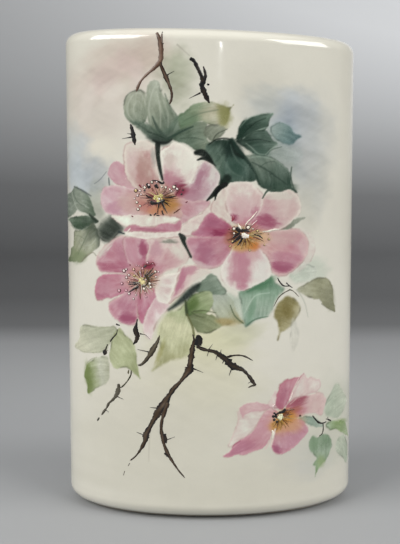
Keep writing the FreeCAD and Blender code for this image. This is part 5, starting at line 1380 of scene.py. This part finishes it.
def stroke_points(run, lift):
    """A domed brush line along (s, z, width): its grid of points and their share across."""
    path = through(run, steps=6)
    slope = np.gradient(path[:, :2], axis=0)
    slope[-1] = path[-1, :2] - path[-2, :2]
    slope /= np.maximum(np.hypot(slope[:, 0], slope[:, 1]), 1e-6)[:, None]
    knots = grain(np.arange(len(path)) * 0.43 + path[0, 0], path[:, 1] * 0.6, 77)
    width = path[:, 2] * (LINE_SPREAD * (0.55 + 0.9 * knots))
    width[[0, -1]] *= 0.35
    shares = np.linspace(-1, 1, LINE_COLUMNS)
    s = path[:, 0, None] - slope[:, 1, None] * shares * width[:, None] / 2
    z = path[:, 1, None] + slope[:, 0, None] * shares * width[:, None] / 2
    rise = (1 - shares ** 2) * LINE_BULGE * np.minimum(width[:, None], WIDEST_BULGE) + lift
    rise = np.where(np.abs(shares) > 0.99, SUNK, rise)
    return painted_point(s, z, rise), shares


def new_store():
    """An empty store of points, faces and colours."""
    return {"points": [], "faces": [], "colours": []}


def add_stroke(store, run, body, edge, seed, lift):
    """Put one brush line into a store."""
    points, shares = stroke_points(run, lift)
    rows, across = points.shape[:2]
    first = len(store["points"])
    travelled = np.arange(rows)[:, None] * 0.35
    streaks = waver(travelled * 0.5 + seed, shares[None, :] * 1.8 + seed + 0 * travelled, seed)
    shaded = np.where(shares > 0, shares, -0.7 * shares)
    blend = smooth(0.05, 0.7, shaded)[None, :, None]
    colour = (np.array(body, float) * (1 - blend) + np.array(edge, float) * blend
              + streaks[..., None] * 64)
    store["points"].extend(points.reshape(-1, 3).tolist())
    store["colours"].extend(colour.reshape(-1, 3).tolist())
    for row in range(rows - 1):
        for step in range(across - 1):
            a = first + row * across + step
            store["faces"].append([a, a + 1, a + across + 1, a + across][::-1])


def twig_pieces(material):
    """Each twig with its thorns, as raised lines of dark enamel."""
    for name, runs in TWIGS.items():
        store = new_store()
        for number, (run, body, edge) in enumerate(runs):
            add_stroke(store, run, body, edge, number + 3, TWIG_LIFT)
        for number, (foot, tip, width) in enumerate(THORNS[name]):
            middle = [(foot[k] + tip[k]) / 2 for k in (0, 1)]
            run = [(*foot, width), (*middle, width * 0.5), (*tip, 0.25)]
            add_stroke(store, run, BLACK, BLACK, number + 31, TWIG_LIFT)
        piece = new_piece(f"painted_{name}", store["points"], store["faces"],
                          pigment(store["colours"]), material)
        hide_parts(name)


def add_dot(store, centre, radius, colour, rim, lift):
    """A raised round touch of enamel with a darker rim."""
    first = len(store["points"])
    rings = ((0.0, 1.0, colour), (0.72, 0.8, colour), (1.0, -0.3, rim))
    for reach, height, shade in rings:
        for spoke in range(1 if reach == 0 else DOT_SPOKES):
            angle = spoke * math.tau / DOT_SPOKES
            place = painted_point(centre[0] + radius * reach * math.cos(angle),
                                  centre[1] + radius * reach * math.sin(angle),
                                  lift + height * radius * DOT_DOME)
            store["points"].append(place.tolist())
            store["colours"].append(shade)
    for spoke in range(DOT_SPOKES):
        inner, after = first + 1 + spoke, first + 1 + (spoke + 1) % DOT_SPOKES
        store["faces"].append([first, inner, after])
        store["faces"].append([inner, inner + DOT_SPOKES, after + DOT_SPOKES, after])


def add_filaments(store, heart, chance):
    """Fine brush lines fanning out of the eye, each dark or pale at random."""
    middle, eye, reach = heart["middle"], heart["eye"], heart["reach"]
    for first, last, count, shades in heart["fans"]:
        for index in range(count):
            angle = math.radians(first + (last - first) * (index + chance.random()) / count)
            length = chance.uniform(0.6, 1.05)
            bend = chance.uniform(-0.15, 0.15)
            shade = chance.choice(shades)
            width = chance.uniform(0.45, 0.8)
            run = []
            for share in (0.0, 0.5, 1.0):
                turn = angle + bend * share
                out = [0.8 * near + (far * length - 0.8 * near) * share
                       for near, far in zip(eye, reach)]
                run.append((middle[0] + out[0] * math.cos(turn),
                            middle[1] + out[1] * math.sin(turn), width * (1 - 0.65 * share)))
            add_stroke(store, run, shade, [tone * 0.6 for tone in shade], index, FILAMENT_LIFT)


def add_eye(store, heart, chance):
    """The mound of pale dots in the middle of a rose."""
    for _ in range(DOTS_IN_EYE):
        angle = chance.uniform(0, math.tau)
        share = math.sqrt(chance.random()) * 0.85
        tone = chance.uniform(0.82, 1.12)
        place = (heart["middle"][0] + heart["eye"][0] * share * math.cos(angle),
                 heart["middle"][1] + heart["eye"][1] * share * math.sin(angle))
        shade = [part * tone for part in heart["eye_colour"]]
        add_dot(store, place, chance.uniform(0.5, 0.9), shade, [part * 0.8 for part in shade],
                EYE_LIFT)


def add_anthers(store, heart, chance):
    """Pale dots, each over a wider dark one that shows as its rim."""
    for s, z, radius, shade in heart["anthers"]:
        rim = [part * dim for part, dim in zip(shade, (0.36, 0.24, 0.24))]
        place = (s + chance.uniform(-0.35, 0.35), z + chance.uniform(-0.35, 0.35))
        radius *= chance.uniform(0.65, 1.05)
        add_dot(store, place, radius * 1.22, rim, rim, ANTHER_RIM_LIFT)
        add_dot(store, place, radius * 0.9, shade, [part * 0.85 for part in shade], ANTHER_LIFT)


def stamen_pieces(material):
    """The filaments, eye, strokes and anthers in the heart of each rose."""
    for number, (name, heart) in enumerate(HEARTS.items()):
        chance = random.Random(number + 7)
        store = new_store()
        add_filaments(store, heart, chance)
        add_eye(store, heart, chance)
        for index, (run, shade) in enumerate(heart["strokes"]):
            add_stroke(store, run, shade, shade, index + 50, STROKE_LIFT)
        add_anthers(store, heart, chance)
        piece = new_piece(f"painted_{name}", store["points"], store["faces"],
                          pigment(store["colours"]), material)
        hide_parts(name)


# ---------------------------------------------------------------- materials

NOISE_LOW = 0.3
NOISE_HIGH = 0.7
GLASSY_IOR = 1.5
COAT_ROUGHNESS = 0.06


def new_material(name):
    """An empty Principled material and its node tree."""
    material = bpy.data.materials.new(name)
    material.use_nodes = True
    return material, material.node_tree, material.node_tree.nodes["Principled BSDF"]


def noise(tree, scale, detail, roughness=0.55):
    """Noise fixed to the vase, with cells about 1/scale of a metre wide."""
    place = tree.nodes.new("ShaderNodeTexCoord")
    node = tree.nodes.new("ShaderNodeTexNoise")
    node.inputs["Scale"].default_value = scale
    node.inputs["Detail"].default_value = detail
    node.inputs["Roughness"].default_value = roughness
    tree.links.new(place.outputs["Object"], node.inputs["Vector"])
    return node.outputs["Fac"]


def spread(tree, value, low, high):
    """Noise, which keeps mostly to its middle part, stretched to run from low to high."""
    node = tree.nodes.new("ShaderNodeMapRange")
    node.inputs["From Min"].default_value = NOISE_LOW
    node.inputs["From Max"].default_value = NOISE_HIGH
    node.inputs["To Min"].default_value = low
    node.inputs["To Max"].default_value = high
    tree.links.new(value, node.inputs["Value"])
    return node.outputs["Result"]


def tinted(tree, colour, value):
    """A colour multiplied by a grey value."""
    node = tree.nodes.new("ShaderNodeVectorMath")
    node.operation = "SCALE"
    tree.links.new(colour, node.inputs[0])
    tree.links.new(value, node.inputs["Scale"])
    return node.outputs["Vector"]


def bumped(tree, shader, value, depth):
    """Give a shader a bump of a depth in metres."""
    node = tree.nodes.new("ShaderNodeBump")
    node.inputs["Distance"].default_value = depth
    tree.links.new(value, node.inputs["Height"])
    tree.links.new(node.outputs["Normal"], shader.inputs["Normal"])


def fired_paint(name, roughness, mottle, bump_scale, bump_depth, coat):
    """Fired glaze or enamel: its colour from the paint, finely mottled, and a clear coat."""
    material, tree, shader = new_material(name)
    paint = tree.nodes.new("ShaderNodeAttribute")
    paint.attribute_name = "paint"
    cloudy = spread(tree, noise(tree, 60.0, 6.0), 1 - mottle, 1 + mottle)
    grainy = spread(tree, noise(tree, 900.0, 3.0), 1 - mottle * 0.6, 1 + mottle * 0.6)
    colour = tinted(tree, tinted(tree, paint.outputs["Color"], cloudy), grainy)
    tree.links.new(colour, shader.inputs["Base Color"])
    rough = spread(tree, noise(tree, 140.0, 5.0), roughness * 0.75, roughness * 1.35)
    tree.links.new(rough, shader.inputs["Roughness"])
    bumped(tree, shader, noise(tree, bump_scale, 3.0), bump_depth)
    shader.inputs["IOR"].default_value = GLASSY_IOR
    shader.inputs["Coat Weight"].default_value = coat
    shader.inputs["Coat Roughness"].default_value = COAT_ROUGHNESS
    return material


def biscuit(name, base, stain):
    """Unglazed porcelain: chalky, with a grain of fine specks."""
    material, tree, shader = new_material(name)
    mix = tree.nodes.new("ShaderNodeMix")
    mix.data_type = "RGBA"
    mix.inputs["A"].default_value = (*to_light(base), 1)
    mix.inputs["B"].default_value = (*to_light(stain), 1)
    tree.links.new(spread(tree, noise(tree, 220.0, 8.0, 0.7), 0.0, 0.8), mix.inputs["Factor"])
    tree.links.new(mix.outputs["Result"], shader.inputs["Base Color"])
    tree.links.new(spread(tree, noise(tree, 500.0, 4.0), 0.65, 0.9), shader.inputs["Roughness"])
    bumped(tree, shader, noise(tree, 1400.0, 4.0), 0.00012)
    return material


# ---------------------------------------------------------------- studio

SWEEP_HALF_WIDTH = 16.0
SWEEP_FRONT = -16.0
SWEEP_BEND = 1.7                # where the floor begins to curve up
SWEEP_RADIUS = 0.9
SWEEP_STEPS = 16
SWEEP_TOP = 4.0

# Painted shade on the paper: greys by the distance behind the vase plus the height, in metres, darkest in
# a band behind the vase.
# The height counts for more to the right, so the bands slope and the upper left is darker.
GREY_REACH = 4.0
SHADE_SLANT = 0.45
BACKDROP_SHADE_GREYS = ((0.0, 0.37), (0.15, 0.40), (0.57, 0.25), (0.70, 0.12), (1.0, 0.085), (1.8, 0.09),
         (2.37, 0.14), (2.66, 0.25), (2.95, 0.37), (3.2, 0.46), (3.5, 0.56))
COOL_CAST = (1.0, 1.02, 1.045)

NEUTRAL = (1.0, 1.0, 1.0)
WARM = (1.0, 0.985, 0.95)


def sweep(material):
    """A pale floor that curves up into a far backdrop."""
    line = [(SWEEP_FRONT, 0.0), (-1.0, 0.0), (0.0, 0.0), (1.0, 0.0), (SWEEP_BEND, 0.0)]
    for step in range(1, SWEEP_STEPS + 1):
        angle = math.radians(90 * step / SWEEP_STEPS)
        line.append((SWEEP_BEND + SWEEP_RADIUS * math.sin(angle),
                     SWEEP_RADIUS * (1 - math.cos(angle))))
    line.append((SWEEP_BEND + SWEEP_RADIUS, SWEEP_TOP))
    points = []
    for y, z in line:
        points += [(-SWEEP_HALF_WIDTH, y, z), (SWEEP_HALF_WIDTH, y, z)]
    faces = [(a, a + 1, a + 3, a + 2) for a in range(0, 2 * len(line) - 2, 2)]
    mesh = bpy.data.meshes.new("sweep")
    mesh.from_pydata(points, [], faces)
    mesh.shade_smooth()
    mesh.materials.append(material)
    piece = bpy.data.objects.new("sweep", mesh)
    bpy.context.scene.collection.objects.link(piece)


def multiply_add(tree, value, factor, addend):
    """A value times a factor plus an addend; each is an output or a plain number."""
    node = tree.nodes.new("ShaderNodeMath")
    node.operation = "MULTIPLY_ADD"
    for source, socket in zip((value, factor, addend), node.inputs):
        if isinstance(source, float):
            socket.default_value = source
        else:
            tree.links.new(source, socket)
    return node.outputs["Value"]


def sweep_material():
    """Matt paper, pale on the floor in front, with painted shade in bands of grey behind the vase."""
    material, tree, shader = new_material("studio_paper")
    place = tree.nodes.new("ShaderNodeTexCoord")
    split = tree.nodes.new("ShaderNodeSeparateXYZ")
    tree.links.new(place.outputs["Object"], split.inputs["Vector"])
    slant = multiply_add(tree, split.outputs["X"], SHADE_SLANT, 1.0)
    back = multiply_add(tree, split.outputs["Z"], slant, split.outputs["Y"])
    shift = tree.nodes.new("ShaderNodeMapRange")
    shift.inputs["From Min"].default_value = 0.0
    shift.inputs["From Max"].default_value = GREY_REACH
    tree.links.new(back, shift.inputs["Value"])
    ramp = tree.nodes.new("ShaderNodeValToRGB")
    tree.links.new(shift.outputs["Result"], ramp.inputs["Fac"])
    elements = ramp.color_ramp.elements
    while len(elements) < len(BACKDROP_SHADE_GREYS):
        elements.new(0.5)
    for element, (distance, grey) in zip(elements, BACKDROP_SHADE_GREYS):
        element.position = distance / GREY_REACH
        element.color = (*(grey * part for part in COOL_CAST), 1)
    tree.links.new(ramp.outputs["Color"], shader.inputs["Base Color"])
    shader.inputs["Roughness"].default_value = 0.75
    shader.inputs["Specular IOR Level"].default_value = 0.2
    return material


def aim(thing, place, target):
    """Stand a light or camera at a place, facing a target."""
    thing.location = place
    thing.rotation_euler = (Vector(target) - Vector(place)).to_track_quat("-Z", "Y").to_euler()


def softbox(name, place, target, size, watts, colour=NEUTRAL):
    """A rectangular area light."""
    data = bpy.data.lights.new(name, "AREA")
    data.shape = "RECTANGLE"
    data.size, data.size_y = size
    data.energy = watts
    data.color = colour
    light = bpy.data.objects.new(name, data)
    bpy.context.scene.collection.objects.link(light)
    aim(light, place, target)


def light_studio():
    """Softboxes to the sides, overhead and on the backdrop, and a small lamp for a highlight."""
    softbox("top", (-0.1, -0.35, 1.9), (0, 0, 0.2), (2.2, 1.8), 7)
    softbox("left", (-2.1, -1.25, 1.7), (0, 0, 0.16), (2.0, 1.5), 66, WARM)
    softbox("right", (2.1, -1.3, 1.6), (0, 0, 0.16), (2.0, 1.5), 56, WARM)
    softbox("backdrop", (1.2, 0.9, 1.5), (0.9, 2.6, 0.85), (1.6, 0.6), 22)
    softbox("lamp", (0.14, -1.5, 0.515), (0, 0, 0.3), (0.022, 0.012), 0.05)
    world = bpy.context.scene.world or bpy.data.worlds.new("studio")
    bpy.context.scene.world = world
    world.use_nodes = True
    background = world.node_tree.nodes["Background"]
    background.inputs["Color"].default_value = (0.80, 0.84, 0.9, 1)
    background.inputs["Strength"].default_value = 0.22


def set_camera():
    """Where the picture was taken from: just left of square on, looking a little down."""
    data = bpy.data.cameras.new("camera")
    data.lens = 59.56
    data.sensor_width = 36.0
    data.shift_x = -0.0184
    camera = bpy.data.objects.new("camera", data)
    bpy.context.scene.collection.objects.link(camera)
    yaw = math.radians(1.14)
    pitch = math.radians(6.62)
    reach = 0.632
    height = 0.2347
    place = Vector((-reach * math.sin(yaw), -reach * math.cos(yaw), height))
    ahead = Vector((math.sin(yaw) * math.cos(pitch), math.cos(yaw) * math.cos(pitch),
                    -math.sin(pitch)))
    aim(camera, place, place + ahead)
    bpy.context.scene.camera = camera


# ---------------------------------------------------------------- build


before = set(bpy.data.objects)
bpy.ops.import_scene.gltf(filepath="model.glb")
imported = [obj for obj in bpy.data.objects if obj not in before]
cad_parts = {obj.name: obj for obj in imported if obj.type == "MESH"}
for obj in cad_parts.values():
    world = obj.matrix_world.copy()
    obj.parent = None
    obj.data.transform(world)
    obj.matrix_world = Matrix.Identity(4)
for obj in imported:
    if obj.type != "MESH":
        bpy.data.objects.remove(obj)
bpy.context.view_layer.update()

# name, roughness, mottling, scale and depth in metres of the bumps, weight of the clear coat
materials = {
    "glaze": fired_paint("painted_glaze", 0.10, 0.015, 260.0, 0.00003, 0.6),
    "rose": fired_paint("rose_enamel_fired", 0.22, 0.035, 900.0, 0.00004, 0.3),
    "leaves": fired_paint("leaf_enamel_fired", 0.24, 0.05, 900.0, 0.00004, 0.3),
    "twig": fired_paint("twig_enamel_fired", 0.35, 0.12, 1600.0, 0.00008, 0.1),
    "stamen": fired_paint("stamen_enamel_fired", 0.30, 0.10, 1600.0, 0.00005, 0.2),
}
painted_vase(materials)
twig_pieces(materials["twig"])
stamen_pieces(materials["stamen"])

for node, material in (("vase_body", biscuit("porcelain_body", (226, 222, 212), (210, 204, 192))),
                       ("foot_ring", biscuit("bare_foot", (214, 206, 190), (176, 160, 138)))):
    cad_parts[node].data.materials.clear()
    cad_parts[node].data.materials.append(material)

sweep(sweep_material())
light_studio()
set_camera()
bpy.context.scene.view_settings.view_transform = "Standard"
